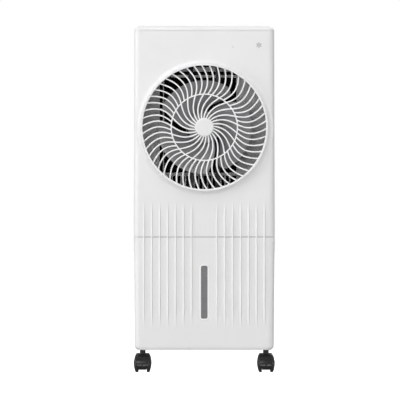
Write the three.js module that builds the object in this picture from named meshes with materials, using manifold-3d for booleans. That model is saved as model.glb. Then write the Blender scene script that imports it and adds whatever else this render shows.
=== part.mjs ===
// A portable evaporative cooler on four twin-wheel casters.
// Millimetres, +Z up. The origin is on the floor under the middle of the cooler, and the front faces -Y.
import * as THREE from 'three';
import { mergeVertices } from 'three/addons/utils/BufferGeometryUtils.js';
import { LoftGeometry } from 'three/addons/geometries/LoftGeometry.js';
import Module from 'manifold-3d';

const wasm = await Module();
wasm.setup();

// ---------------------------------------------------------------- driving dimensions

const WALL = 3; // thickness of the moulded walls
const GAP = 0.3; // clearance between pieces that touch

// Housing: heights of its joints, and its half width at each of them
const BOTTOM = 48;
const SEAM = 290;
const SHOULDER = 733.2;
const TOP = 742.5;
const HALF_WIDTH_BOTTOM = 148.8;
const HALF_WIDTH_SEAM = 151;
const HALF_WIDTH_SHOULDER = 149.8;
const FRONT = -132; // plane of the front panel
const REAR = 136; // plane of the back
const SPLIT = -60; // where the front and rear shells of the upper housing meet
const EDGE_RADIUS = 12;
const BOTTOM_ROUND = [6.5, 9]; // how far the lower edge is rounded, inwards and upwards
const FRONT_ROUND = 0.3; // share of the inward rounding on the front and the back
const TOP_BEVEL = 9.8;

// Flutes: raised upright ridges either side of the middle of the front
const FLUTES_PER_SIDE = 7;
const FLUTE_FIRST_X = 27.1;
const FLUTE_PITCH = 17.03;
const FLUTE_WIDTH = 4.6;
const FLUTE_HEIGHT = 2;
const FLUTE_TOP = [322, 363]; // full height below the first, nothing at the second
const FLUTE_FOOT = [149, 97];

// Fan: everything on its axis is placed from its centre line, at FAN_Z
const FAN_Z = 525.1;
const COLLAR_CREST_Y = -140;
const GRILLE_RIM_RADIUS = 136;
const GRILLE_OPENING_RADIUS = 132.5;
const COLLAR_FLARE_RADIUS = 146.5;
const DUCT_REAR_Y = -100;
const LONG_RIBS = 25;
const RING_SIDES = 50; // facets of the large circles of grille and collar
const RIB_WIDTH = 3;
const RIB_FRONT_Y = -136.5;
const RIB_REAR_Y = -128.5;
const MIDDLE_RING_RADIUS = 71;
const CAP_RADIUS = 20;
const BLADES = 3;
const BLADE_TIP_RADIUS = 101;
const FAN_HUB_RADIUS = 35;
const FAN_FRONT_Y = -118;
const FAN_REAR_Y = -76;
const FAN_PHASE = 77; // degrees, middle of the first gap between blades
const SHAFT_RADIUS = 4;
const MOTOR_RADIUS = 40;
const MOTOR_Y = [-68, -10];

// Pad window: the hose takes the room on its right, so it is left of the middle
const PAD_X = [-96, 69];
const PAD_Z = [385, 664];
const PAD_SURROUND = 6; // how far the pad's frame reaches past the window
const BULKHEAD_Y = [60, 63];
const RAIL_Z = [[421.3, 428.2], [633.2, 638.6], [645.7, 655.4]]; // rails across the pad window
const BAR_HALF_WIDTH = 1.5;
const BAR_PITCH = 9.5; // upright bars under the lowest rail
const BARS = 15;
const STILE_X = -88; // one upright bar from top to bottom
const STRAP_X = [24, 34];
const STRAP_REACH = 143;
const PAD_FRAME_Y = [63.3, 105];
const HOSE_RADIUS = 5;

// Deck and tank
const DECK_Z = [290.5, 294.5];
const TANK_HALF_WIDTH = 138;
const TANK_Z = [77, 245];
const TANK_Y = [-124, 125.7];
const TANK_PANEL_Z = [62.5, 289.2];
const TANK_RAIL_X = 90;
const PUMP_X = 95;
const PUMP_Y = 100;
const LATCH_Z = 303;
const DRAIN_Z = 92;
const DRAIN_RADIUS = 8;

// Level window in the base
const LEVEL_HALF_WIDTH = 7.1;
const LEVEL_Z = [114.7, 228.5];

// Casters: stems in the corners of the base, wheels trailing towards the front
const CASTER_X = 132.4;
const CASTER_Y = [-100, 100];
const CASTER_TRAIL = 12;
const WHEEL_RADIUS = 18.8;
const HOOD_RADIUS = 20.8;
const HOOD_HALF_WIDTH = 14.5;
const WEB_HALF_WIDTH = 8.5;
const STEM_RADIUS = 5.7;
const STEM_HOLE_RADIUS = 6;
const STEM_BOSS_RADIUS = 9.5;
const STEM_TOP = 68;
const AXLE_RADIUS = 3;

// Controls on the top
const BUTTON_X = { power: -66, speed: -38, cool: 38, timer: 66 };
const PANEL_Y = [-112, -58];
const PANEL_HALF_WIDTH = 85;
const PANEL_TOP = 742;
const BUTTON_RADIUS = 8;
const BOARD_Z = [726.4, 728]; // the circuit board hangs from four posts
const BOARD_POST_X = 93;
const BOARD_POST_Y = [-106, -64];

const RAD = Math.PI / 180;
const lerp = THREE.MathUtils.lerp;

// ---------------------------------------------------------------- materials

function plastic(color, roughness = 0.45) {
	return new THREE.MeshStandardMaterial({ color, roughness, metalness: 0, flatShading: true });
}

function metal(color, roughness = 0.4) {
	return new THREE.MeshStandardMaterial({ color, roughness, metalness: 0.9, flatShading: true });
}

const WHITE = plastic(0xeef0f1);
const PALE_GREY = plastic(0xd5d8da);
const BLADE_GREY = plastic(0x76797b, 0.3);
const BLACK = plastic(0x1d1e20);
const TYRE_BLACK = plastic(0x26272a, 0.7);
const PANEL_BLACK = plastic(0x101214, 0.15);
const WINDOW_GREY = plastic(0x7c8083, 0.25);
const MARK_GREY = plastic(0xa5a8aa);
const CLEAR_BLUE = plastic(0xc9dbe4, 0.2);
const PAPER_BROWN = plastic(0x6a5a44, 0.95);
const FILTER_GREY = plastic(0x4a4d50, 0.9);
const BOARD_GREEN = plastic(0x1f5a35, 0.5);
const STEEL = metal(0xb8bbbe);
const DARK_STEEL = metal(0x3c3f42, 0.55);

// ---------------------------------------------------------------- solids

// A closed three.js geometry as a solid: corners shared, slivers on the axis dropped, faces outward.
function solid(geometry) {
	const bare = new THREE.BufferGeometry().setAttribute('position', geometry.attributes.position);
	const merged = mergeVertices(bare.setIndex(geometry.index));
	const position = merged.attributes.position;
	const triangles = [];
	for (let i = 0; i < merged.index.count; i += 3) {
		const [a, b, c] = [0, 1, 2].map((k) => merged.index.getX(i + k));
		if (a !== b && b !== c && c !== a) triangles.push([a, b, c]);
	}
	const outward = signedVolume(position, triangles) > 0;
	const triVerts = new Uint32Array(triangles.flatMap(([a, b, c]) => (outward ? [a, b, c] : [a, c, b])));
	const vertProperties = new Float32Array(position.array);
	return new wasm.Manifold(new wasm.Mesh({ numProp: 3, vertProperties, triVerts }));
}

function signedVolume(position, triangles) {
	const corner = (i) => new THREE.Vector3().fromBufferAttribute(position, i);
	return triangles.reduce((sum, [a, b, c]) => sum + corner(a).dot(corner(b).cross(corner(c))) / 6, 0);
}

function toGeometry(shape) {
	const { vertProperties, triVerts } = shape.getMesh();
	const geometry = new THREE.BufferGeometry();
	geometry.setAttribute('position', new THREE.BufferAttribute(vertProperties, 3));
	geometry.setIndex(new THREE.BufferAttribute(triVerts, 1));
	geometry.computeVertexNormals();
	return geometry;
}

function join(...shapes) {
	return shapes.flat().reduce((whole, next) => whole.add(next));
}

function cut(shape, ...tools) {
	return tools.flat().reduce((left, tool) => left.subtract(tool), shape);
}

function box([x0, x1], [y0, y1], [z0, z1]) {
	const geometry = new THREE.BoxGeometry(x1 - x0, y1 - y0, z1 - z0);
	return solid(geometry.translate((x0 + x1) / 2, (y0 + y1) / 2, (z0 + z1) / 2));
}

// Turns a geometry made along Y so that it lies along another axis, its start first.
function along(axis, geometry) {
	if (axis === 'x') return geometry.rotateZ(-Math.PI / 2);
	return axis === 'z' ? geometry.rotateX(Math.PI / 2) : geometry;
}

// A round rod along an axis, between two places on it, moved to centre.
function rod(axis, radius, [from, to], centre = [0, 0, 0], sides = 16) {
	const geometry = new THREE.CylinderGeometry(radius, radius, to - from, sides);
	return solid(along(axis, geometry.translate(0, (from + to) / 2, 0)).translate(...centre));
}

// A profile of [radius, place along the axis] turned about an axis.
function turned(axis, profile, centre = [0, 0, 0], sides = 16) {
	const points = profile.map(([r, a]) => new THREE.Vector2(r, a));
	const [first, last] = [points[0], points.at(-1)];
	if (first.x > 0 || last.x > 0) points.push(first.clone());
	return solid(along(axis, new THREE.LatheGeometry(points, sides)).translate(...centre));
}

function roundedRectangle([x0, x1], [z0, z1], radius) {
	const shape = new THREE.Shape();
	shape.absarc(x1 - radius, z1 - radius, radius, 0, 90 * RAD);
	shape.absarc(x0 + radius, z1 - radius, radius, 90 * RAD, 180 * RAD);
	shape.absarc(x0 + radius, z0 + radius, radius, 180 * RAD, 270 * RAD);
	shape.absarc(x1 - radius, z0 + radius, radius, 270 * RAD, 360 * RAD);
	shape.closePath();
	return shape;
}

// A shape drawn in X and Z, seen from the front, as a plate between two depths.
function plate(shape, [y0, y1], curveSegments = 3) {
	const geometry = new THREE.ExtrudeGeometry(shape, { depth: y1 - y0, bevelEnabled: false, curveSegments });
	return solid(geometry.rotateX(Math.PI / 2).translate(0, y1, 0));
}

function roundedPlate(x, z, radius, y) {
	return plate(roundedRectangle(x, z, radius), y);
}

// The outline of a rounded rectangle at one height, as a section for a loft.
function outline(halfWidth, [front, back], radius, z, centreX = 0) {
	const steps = 4;
	const corners = [[1, back - radius], [-1, back - radius], [-1, front + radius], [1, front + radius]];
	return corners.flatMap(([side, y], quarter) => Array.from({ length: steps + 1 }, (_, i) => {
		const angle = (quarter + i / steps) * 90 * RAD;
		const x = centreX + side * (halfWidth - radius);
		return new THREE.Vector3(x + radius * Math.cos(angle), y + radius * Math.sin(angle), z);
	}));
}

// A skin through sections of any plane shape, each put in the winding order that LoftGeometry asks for.
function skin(sections) {
	const middle = (ring) => ring.reduce((sum, p) => sum.add(p), new THREE.Vector3()).divideScalar(ring.length);
	const start = middle(sections[0]);
	const turn = sections[0].reduce((sum, p, i, ring) => (
		sum.add(p.clone().sub(start).cross(ring[(i + 1) % ring.length].clone().sub(start)))
	), new THREE.Vector3());
	const forward = middle(sections[1]).sub(start).dot(turn) > 0;
	const ordered = forward ? sections : sections.map((ring) => [...ring].reverse());
	return new LoftGeometry(ordered, { capStart: true, capEnd: true });
}

function loft(...sections) {
	return solid(skin(sections));
}

function polar(radius, degrees, y = 0) {
	return new THREE.Vector3(radius * Math.cos(degrees * RAD), y, radius * Math.sin(degrees * RAD));
}

// ---------------------------------------------------------------- housing

function upperHalfWidth(z) {
	return lerp(HALF_WIDTH_SEAM, HALF_WIDTH_SHOULDER, (z - SEAM) / (SHOULDER - SEAM));
}

function lowerHalfWidth(z) {
	return lerp(HALF_WIDTH_BOTTOM, HALF_WIDTH_SEAM, (z - BOTTOM) / (SEAM - BOTTOM));
}

function housingOutline(halfWidth, z, inset, back = REAR - inset) {
	return outline(halfWidth - inset, [FRONT + inset, back], Math.max(EDGE_RADIUS - inset, 2), z);
}

// One upright ridge, standing out of the front panel and sinking into it at its free end.
function flute(x, seamEnd, [full, end]) {
	const half = FLUTE_WIDTH / 2;
	const crown = [0.5, 0, -0.5].map((part) => [part * half, -FLUTE_HEIGHT * (1 - 0.8 * part * part)]);
	const section = [[-half, WALL / 2], [half, WALL / 2], [half, 0], ...crown, [-half, 0]];
	const at = (z, sink) => section.map(([u, v]) => new THREE.Vector3(x + u, FRONT + v + sink, z));
	return loft(at(seamEnd, 0), at(full, 0), at(end, FLUTE_HEIGHT + 0.2));
}

function flutes(seamEnd, ends) {
	const offsets = Array.from({ length: FLUTES_PER_SIDE }, (_, i) => FLUTE_FIRST_X + i * FLUTE_PITCH);
	return offsets.flatMap((x) => [flute(x, seamEnd, ends), flute(-x, seamEnd, ends)]);
}

function upperHousing() {
	const outer = loft(
		housingOutline(HALF_WIDTH_SEAM, SEAM + GAP / 2, 0),
		housingOutline(HALF_WIDTH_SHOULDER, SHOULDER, 0),
	);
	const inner = loft(
		housingOutline(HALF_WIDTH_SEAM, SEAM - 1, WALL),
		housingOutline(HALF_WIDTH_SHOULDER, SHOULDER + 1, WALL),
	);
	return outer.subtract(inner);
}

// The collar round the grille: a flare on the front panel, a duct behind it and a ledge for the grille.
function collar() {
	const inner = GRILLE_RIM_RADIUS + GAP;
	const flare = [1, 0.55, 0.2, 0].map((s) => [
		lerp(inner + 0.6, COLLAR_FLARE_RADIUS, s),
		FRONT - (FRONT - COLLAR_CREST_Y) * Math.pow(1 - s, 2.2),
	]);
	const profile = [
		...flare,
		[inner, COLLAR_CREST_Y + 0.4],
		[inner, RIB_REAR_Y + 3],
		[GRILLE_OPENING_RADIUS, RIB_REAR_Y + 3],
		[GRILLE_OPENING_RADIUS, RIB_REAR_Y + 6],
		[inner, RIB_REAR_Y + 6],
		[inner, DUCT_REAR_Y],
		[inner + WALL, DUCT_REAR_Y],
		[inner + WALL, FRONT + WALL / 2],
		[COLLAR_FLARE_RADIUS, FRONT + WALL / 2],
	];
	return turned('y', profile, [0, 0, FAN_Z], RING_SIDES);
}

const INDICATOR = [117, 701.3, 7];
const RECEIVER = [61.3, 697.6, 2.5];

function frontShell() {
	const half = box([-200, 200], [-200, SPLIT - GAP / 2], [0, 900]);
	const mouth = rod('y', GRILLE_RIM_RADIUS + 2, [FRONT - 5, FRONT + 10], [0, 0, FAN_Z], RING_SIDES);
	const lights = [INDICATOR, RECEIVER].map(([x, z, r]) => rod('y', r + GAP, [FRONT - 5, FRONT + 10], [x, 0, z]));
	const panel = cut(upperHousing().intersect(half), mouth, lights);
	return join(panel, collar(), flutes(SEAM + GAP / 2, FLUTE_TOP));
}

function lightGuide([x, z, radius]) {
	const flange = rod('y', radius + 1.5, [FRONT + WALL + GAP, FRONT + WALL + 1.5], [x, 0, z]);
	return join(rod('y', radius, [FRONT + 0.05, FRONT + WALL + 1], [x, 0, z]), flange);
}

const GRIP_DEPTH = 24;
const GRIP_WALL = 2;
const GRIP_Y = [-45, 45];
const GRIP_Z = [655, 690];
const REAR_WINDOW_X = 118.5;
const REAR_WINDOW_Z = [399.5, 706.5];
const GLAND = [112, 335];

function rearShell() {
	const half = box([-200, 200], [SPLIT + GAP / 2, 200], [0, 900]);
	const window = box([-REAR_WINDOW_X, REAR_WINDOW_X], [REAR - 10, REAR + 10], REAR_WINDOW_Z);
	const grips = box([-200, 200], GRIP_Y, GRIP_Z);
	const holes = [
		rod('y', 3.3, [REAR - 10, REAR + 10], [0, 0, LATCH_Z]),
		rod('y', 8, [REAR - 10, REAR + 10], [GLAND[0], 0, GLAND[1]]),
	];
	return cut(upperHousing().intersect(half), window, grips, holes);
}

// A recessed hand grip in one side, open towards the outside.
function handleCup(side) {
	const face = upperHalfWidth(GRIP_Z[0]) - 1.5;
	const [back, wall] = [face - GRIP_DEPTH, GRIP_WALL];
	const [y0, y1] = [GRIP_Y[0] + GAP, GRIP_Y[1] - GAP];
	const [z0, z1] = [GRIP_Z[0] + GAP, GRIP_Z[1] - GAP];
	const across = (a, b) => (side > 0 ? [a, b] : [-b, -a]);
	const outer = box(across(back, face), [y0, y1], [z0, z1]);
	return outer.subtract(box(across(back + wall, face + 5), [y0 + wall, y1 - wall], [z0 + wall, z1 - wall]));
}

function cordGland() {
	const [inside, flange, outside] = [REAR - 8, REAR + GAP, REAR + 2.5];
	const profile = [[4, inside], [7.6, inside], [7.6, flange], [10, flange], [9, outside], [4, outside]];
	return turned('y', profile, [GLAND[0], 0, GLAND[1]]);
}

function topCover() {
	const rise = (part) => lerp(SHOULDER + GAP, TOP, part);
	const bevel = (shift, wall) => [[0, 0], [0.57, 0.36], [0.9, 0.78], [1, 1]].map(([up, inwards]) => (
		housingOutline(HALF_WIDTH_SHOULDER, rise(up) + shift, inwards * TOP_BEVEL + wall)
	));
	const shell = loft(...bevel(0, 0)).subtract(loft(...bevel(-WALL, 2 * WALL)));
	const rimOutline = (inset, z) => housingOutline(HALF_WIDTH_SHOULDER, z, WALL + GAP + inset);
	const rim = loft(rimOutline(0, SHOULDER - 8), rimOutline(0, SHOULDER + 3));
	const ring = rim.subtract(loft(rimOutline(WALL, SHOULDER - 9), rimOutline(WALL, SHOULDER + 4)));
	const postZ = [BOARD_Z[1] + GAP, TOP - WALL / 2];
	const posts = [-BOARD_POST_X, BOARD_POST_X].flatMap((x) => (
		BOARD_POST_Y.map((y) => rod('z', 3, postZ, [x, y, 0], 12))
	));
	const hole = box([-PANEL_HALF_WIDTH, PANEL_HALF_WIDTH], PANEL_Y, [700, 800]);
	return cut(join(shell, ring, posts), hole);
}

// ---------------------------------------------------------------- controls

const DISPLAY = [20, 8]; // half width and half depth
const PANEL_MID_Y = (PANEL_Y[0] + PANEL_Y[1]) / 2;

function controlPanel() {
	const inset = [PANEL_Y[0] + GAP, PANEL_Y[1] - GAP];
	const half = PANEL_HALF_WIDTH - GAP;
	const slab = box([-half, half], inset, [PANEL_TOP - 5, PANEL_TOP]);
	const flange = box([-half - 3, half + 3], [inset[0] - 3, inset[1] + 3], [PANEL_TOP - 5, PANEL_TOP - 3]);
	const holes = Object.values(BUTTON_X).map((x) => (
		rod('z', BUTTON_RADIUS + GAP, [700, 800], [x, PANEL_MID_Y, 0])
	));
	const [w, d] = DISPLAY;
	const display = box([-w - GAP, w + GAP], [PANEL_MID_Y - d - GAP, PANEL_MID_Y + d + GAP], [700, 800]);
	return cut(join(slab, flange), holes, display);
}

function displayLens() {
	const [w, d] = DISPLAY;
	const face = box([-w, w], [PANEL_MID_Y - d, PANEL_MID_Y + d], [PANEL_TOP - 6, PANEL_TOP - 0.4]);
	const [fw, fd] = [w + 3, d + 3];
	return face.add(box([-fw, fw], [PANEL_MID_Y - fd, PANEL_MID_Y + fd], [PANEL_TOP - 7, PANEL_TOP - 5 - GAP]));
}

// A push button, standing on the origin of its own axis; its stem ends over a switch.
function pushButton() {
	const [top, collarTop, collarFoot, foot] = [0.1, 5.8, 8.6, 12].map((below) => PANEL_TOP - below);
	const profile = [
		[0, top], [BUTTON_RADIUS - 0.6, top], [BUTTON_RADIUS, top - 0.6], [BUTTON_RADIUS, collarTop],
		[9.5, collarTop], [9.5, collarFoot], [2.5, collarFoot], [2.5, foot], [0, foot],
	];
	return turned('z', profile, [0, 0, 0], 12);
}

function controlBoard() {
	const reach = BOARD_POST_X + 5;
	return box([-reach, reach], [BOARD_POST_Y[0] - 4, BOARD_POST_Y[1] + 4], BOARD_Z);
}

// ---------------------------------------------------------------- fan, in the frame of its own axis

// The line of one S-shaped rib from the hub to the rim, seen from the front.
function ribLine() {
	const y = (RIB_FRONT_Y + RIB_REAR_Y) / 2;
	return new THREE.CubicBezierCurve3(
		polar(CAP_RADIUS - 3, 8, y), polar(74.5, -0.9, y), polar(82.3, -49.2, y),
		polar(GRILLE_OPENING_RADIUS + 1, -22.6, y),
	);
}

function rib(line, steps) {
	const [w, d] = [RIB_WIDTH / 2, (RIB_REAR_Y - RIB_FRONT_Y) / 2];
	const sections = Array.from({ length: steps + 1 }, (_, i) => {
		const middle = line.getPoint(i / steps);
		const tangent = line.getTangent(i / steps);
		const across = new THREE.Vector3(-tangent.z, 0, tangent.x);
		return [[-w, -d], [w, -d], [w, d], [-w, d]].map(([u, v]) => (
			middle.clone().addScaledVector(across, u).add(new THREE.Vector3(0, v, 0))
		));
	});
	return skin(sections);
}

// The part of the rib's line outside the middle ring, as a curve of its own.
function outerLine(line) {
	const samples = line.getPoints(60).filter((p) => Math.hypot(p.x, p.z) > MIDDLE_RING_RADIUS);
	return new THREE.CatmullRomCurve3(samples);
}

function frontGrille() {
	const band = (inner, outer, front, rear, sides) => turned('y', [
		[inner, front], [outer, front], [outer, rear], [inner, rear],
	], [0, 0, 0], sides);
	const rim = turned('y', [
		[GRILLE_OPENING_RADIUS, COLLAR_CREST_Y + 1.2], [GRILLE_OPENING_RADIUS + 1, COLLAR_CREST_Y],
		[GRILLE_RIM_RADIUS - 0.6, COLLAR_CREST_Y], [GRILLE_RIM_RADIUS, COLLAR_CREST_Y + 0.6],
		[GRILLE_RIM_RADIUS, RIB_REAR_Y + 2.5], [GRILLE_OPENING_RADIUS, RIB_REAR_Y + 2.5],
	], [0, 0, 0], RING_SIDES);
	const [ringFront, ringRear] = [RIB_FRONT_Y + 0.2, RIB_REAR_Y - 0.2];
	const ring = band(MIDDLE_RING_RADIUS - 1.3, MIDDLE_RING_RADIUS + 1.3, ringFront, ringRear, RING_SIDES);
	const hub = band(6, CAP_RADIUS - 1, RIB_FRONT_Y + 0.1, RIB_REAR_Y - 0.1, LONG_RIBS);
	const line = ribLine();
	const pitch = 360 * RAD / LONG_RIBS;
	const ribs = Array.from({ length: LONG_RIBS }, (_, i) => [
		solid(rib(line, 6).rotateY(-i * pitch)),
		solid(rib(outerLine(line), 2).rotateY(-(i + 0.5) * pitch)),
	]).flat();
	return join(rim, ring, hub, ribs);
}

function grilleCap() {
	const seat = RIB_FRONT_Y - 0.2;
	return turned('y', [
		[0, seat - 2.6], [CAP_RADIUS * 0.7, seat - 2.3], [CAP_RADIUS - 1, seat - 1.5], [CAP_RADIUS, seat - 0.6],
		[CAP_RADIUS, seat], [5.7, seat], [5.7, RIB_REAR_Y], [0, RIB_REAR_Y],
	], [0, 0, 0], LONG_RIBS);
}

// One broad blade: its pitch flattens and its edges sweep back towards the tip.
function blade(startAngle) {
	const rows = 5;
	const columns = 6;
	const thickness = 2.2;
	const sections = Array.from({ length: rows + 1 }, (_, i) => {
		const out = i / rows;
		const radius = lerp(FAN_HUB_RADIUS - 2, BLADE_TIP_RADIUS, out);
		const lead = startAngle - 36 * Math.pow(out, 0.8);
		const span = lerp(98, 112, Math.sin(out * Math.PI * 0.75)) - 14 * Math.pow(out, 6);
		const rise = lerp(34, 24, out);
		const side = (shift) => Array.from({ length: columns + 1 }, (_, j) => {
			const turn = j / columns;
			const camber = 4 * Math.sin(turn * Math.PI) * out;
			const y = lerp(FAN_FRONT_Y + 4, FAN_FRONT_Y + 4 + rise, turn) - camber + shift;
			return polar(radius, lead - span * turn, y);
		});
		return [...side(0), ...side(thickness).reverse()];
	});
	return loft(...sections);
}

function fanBlades() {
	const hub = turned('y', [
		[SHAFT_RADIUS + GAP, FAN_FRONT_Y + 3], [10, FAN_FRONT_Y + 3], [11, FAN_FRONT_Y],
		[FAN_HUB_RADIUS - 6, FAN_FRONT_Y], [FAN_HUB_RADIUS, FAN_FRONT_Y + 4], [FAN_HUB_RADIUS, FAN_REAR_Y],
		[FAN_HUB_RADIUS - 2.5, FAN_REAR_Y], [FAN_HUB_RADIUS - 2.5, FAN_FRONT_Y + 6], [10, FAN_FRONT_Y + 6],
		[9, FAN_REAR_Y - 4], [SHAFT_RADIUS + GAP, FAN_REAR_Y - 4],
	], [0, 0, 0], 24);
	const bore = rod('y', FAN_HUB_RADIUS - 2.5, [FAN_FRONT_Y + 6, FAN_REAR_Y + 5], [0, 0, 0], 24);
	const vane = (i) => blade(FAN_PHASE - 8 - i * 360 / BLADES).subtract(bore);
	return join(hub, Array.from({ length: BLADES }, (_, i) => vane(i)));
}

function fanNut() {
	return turned('y', [
		[0, FAN_FRONT_Y - 6], [6, FAN_FRONT_Y - 5], [8.5, FAN_FRONT_Y - 1], [8.5, FAN_FRONT_Y + 2.7],
		[SHAFT_RADIUS + GAP, FAN_FRONT_Y + 2.7], [SHAFT_RADIUS + GAP, FAN_FRONT_Y - 1.7], [0, FAN_FRONT_Y - 1.7],
	], [0, 0, 0], 12);
}

function motorShaft() {
	return rod('y', SHAFT_RADIUS, [FAN_FRONT_Y - 1.4, MOTOR_Y[1] - 8]);
}

function motorHousing() {
	const [front, rear] = MOTOR_Y;
	const bore = SHAFT_RADIUS + 0.2;
	return turned('y', [
		[bore, front], [11, front], [11, front + 6], [MOTOR_RADIUS - 5, front + 9], [MOTOR_RADIUS, front + 15],
		[MOTOR_RADIUS, rear - 10], [MOTOR_RADIUS - 5, rear - 4], [12, rear],
		[0, rear], [0, rear - 7], [bore, rear - 7],
	], [0, 0, 0], 24);
}

// A sheet-steel bracket: a disc for the motor and two upright straps bent back to the bulkhead.
function motorMount() {
	const front = MOTOR_Y[1] + GAP;
	const sheet = [front, front + WALL];
	const end = STRAP_REACH + WALL;
	const straps = [STRAP_X, [-STRAP_X[1], -STRAP_X[0]]].flatMap((x) => {
		const legs = [[STRAP_REACH, end], [-end, -STRAP_REACH]].map((z) => box(x, [front, BULKHEAD_Y[0] - GAP], z));
		return [box(x, sheet, [-end, end]), ...legs];
	});
	return join(rod('y', MOTOR_RADIUS, sheet, [0, 0, 0], 24), straps);
}

// ---------------------------------------------------------------- cooling side

function grown([low, high], by) {
	return [low - by, high + by];
}

// The bulkhead between fan and pad, with rails and upright bars across the pad window.
function innerFrame() {
	const sheet = box([-145, 145], BULKHEAD_Y, [DECK_Z[1] + GAP, SHOULDER - 9]);
	const rails = RAIL_Z.map((z) => (
		box([PAD_X[0] - 4, PAD_X[1] + 33], [BULKHEAD_Y[0] - 4, BULKHEAD_Y[1]], z)
	));
	const bar = (x, z) => box(grown([x, x], BAR_HALF_WIDTH), BULKHEAD_Y, z);
	const stile = bar(STILE_X, grown(PAD_Z, 1));
	const bars = Array.from({ length: BARS }, (_, i) => (
		bar(STILE_X + (i + 1) * BAR_PITCH, [PAD_Z[0] - 1, RAIL_Z[0][0] + 1])
	));
	return join(cut(sheet, box(PAD_X, [0, 100], PAD_Z)), rails, stile, bars);
}

const PAD_FRAME_WALL = 4;
const DRIP_Y = 84; // middle of the row of drips over the pad

function padFrame() {
	const outer = box(grown(PAD_X, PAD_SURROUND), PAD_FRAME_Y, grown(PAD_Z, PAD_SURROUND));
	const hollow = PAD_SURROUND - PAD_FRAME_WALL;
	const inner = box(grown(PAD_X, hollow), [0, 200], grown(PAD_Z, hollow));
	const back = [PAD_FRAME_Y[1] - 3, PAD_FRAME_Y[1]];
	const middle = (PAD_X[0] + PAD_X[1]) / 2;
	const bars = [-45, 0, 45].map((x) => box(grown([middle + x, middle + x], 3), back, grown(PAD_Z, hollow + 2)));
	const slot = box(grown(PAD_X, -10), grown([DRIP_Y, DRIP_Y], 6), [PAD_Z[1], PAD_Z[1] + 20]);
	return cut(join(outer.subtract(inner), bars), slot);
}

function coolingPad() {
	return box(grown(PAD_X, 1.7), [66, 101], grown(PAD_Z, 1.7));
}

const TROUGH_Z = [PAD_Z[1] + PAD_SURROUND + GAP, PAD_Z[1] + 34];
const TROUGH_WALL = 2.5;
const DRIPS = 9;

function waterDistributor() {
	const x = grown(PAD_X, PAD_SURROUND);
	const y = [PAD_FRAME_Y[0], PAD_FRAME_Y[1] - 1];
	const [floor, rim] = TROUGH_Z;
	const inner = box(grown(x, -TROUGH_WALL), grown(y, -TROUGH_WALL), [floor + TROUGH_WALL, rim + 5]);
	const [first, last] = grown(x, -20);
	const drips = Array.from({ length: DRIPS }, (_, i) => (
		rod('z', 2.5, [floor - 5, floor + 5], [lerp(first, last, i / (DRIPS - 1)), DRIP_Y, 0], 8)
	));
	return cut(box(x, y, TROUGH_Z).subtract(inner), drips);
}

// From the pump up through the deck, round the pad frame and into the end of the trough.
function waterHose() {
	const route = new THREE.CatmullRomCurve3([
		[PUMP_X, PUMP_Y, 136], [PUMP_X, PUMP_Y, 200], [PUMP_X, PUMP_Y + 1, 300], [98, 103, 360],
		[108, 108, 410], [112, 110, 470], [112, 110, 610], [109, 104, 664], [98, 90, 684], [PAD_X[1] + 8, 86, 686],
	].map((p) => new THREE.Vector3(...p)));
	const circle = new THREE.Shape().absarc(0, 0, HOSE_RADIUS, 0, 2 * Math.PI);
	return solid(new THREE.ExtrudeGeometry(circle, { extrudePath: route, steps: 24, curveSegments: 4 }));
}

const PUMP_Z = [84, 126];

function waterPump() {
	const body = outlinedBlock(20, [PUMP_Y - 16, PUMP_Y + 16], 6, PUMP_Z, PUMP_X);
	const outlet = rod('z', 6, [PUMP_Z[1] - 2, 135.7], [PUMP_X, PUMP_Y, 0]);
	const inlet = rod('y', 9, [PUMP_Y - 19, PUMP_Y - 10], [PUMP_X, 0, PUMP_Z[0] + 14]);
	return join(body, outlet, inlet);
}

function outlinedBlock(halfWidth, y, radius, [z0, z1], centreX = 0) {
	return loft(outline(halfWidth, y, radius, z0, centreX), outline(halfWidth, y, radius, z1, centreX));
}

function pumpHanger() {
	const y = [PUMP_Y + 16 + GAP, PUMP_Y + 19 + GAP];
	const strap = box([PUMP_X - 16, PUMP_X + 16], y, [PUMP_Z[0], DECK_Z[0] - GAP]);
	const foot = box([PUMP_X - 16, PUMP_X + 16], [PUMP_Y + 9, y[1]], [DECK_Z[0] - GAP - 3, DECK_Z[0] - GAP]);
	return strap.add(foot);
}

function deck() {
	const sheet = outlinedBlock(146, [FRONT + WALL + 1, REAR - WALL - 1], EDGE_RADIUS, DECK_Z);
	const hose = rod('z', 8, [200, 400], [PUMP_X, PUMP_Y + 1, 0]);
	const drain = box(grown(PAD_X, -6), grown([DRIP_Y, DRIP_Y], 10), [200, 400]);
	return cut(sheet, hose, drain);
}

function capacitor() {
	return outlinedBlock(18, [BULKHEAD_Y[0] - 24, BULKHEAD_Y[0] - GAP], 4, [330, 352], 100);
}

// ---------------------------------------------------------------- back

const LOUVRES = 13;

function rearGrille() {
	const y = [REAR - 8, REAR - 0.4];
	const half = REAR_WINDOW_X - 0.5;
	const [z0, z1] = grown(REAR_WINDOW_Z, -0.5);
	const frame = cut(
		box([-half, half], y, [z0, z1]),
		box([10 - half, half - 10], [0, 200], [z0 + 10, z1 - 10]),
	);
	const louvres = Array.from({ length: LOUVRES }, (_, i) => {
		const slat = new THREE.BoxGeometry(2 * half - 18, 7, 2).rotateX(-28 * RAD);
		return solid(slat.translate(0, REAR - 4.4, lerp(z0 + 10, z1 - 10, (i + 1) / (LOUVRES + 1))));
	});
	const post = box([-2, 2], [REAR - 6, REAR - 2], [z0 + 9, z1 - 9]);
	return join(frame, louvres, post);
}

function dustFilter() {
	const half = REAR_WINDOW_X - 6;
	return box([-half, half], [REAR - 11, REAR - 8 - GAP], grown(REAR_WINDOW_Z, -7));
}

const CATCH_RADIUS = 10;
const CATCH_ARM = [20, 5]; // its length, and the radius of its tip

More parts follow.
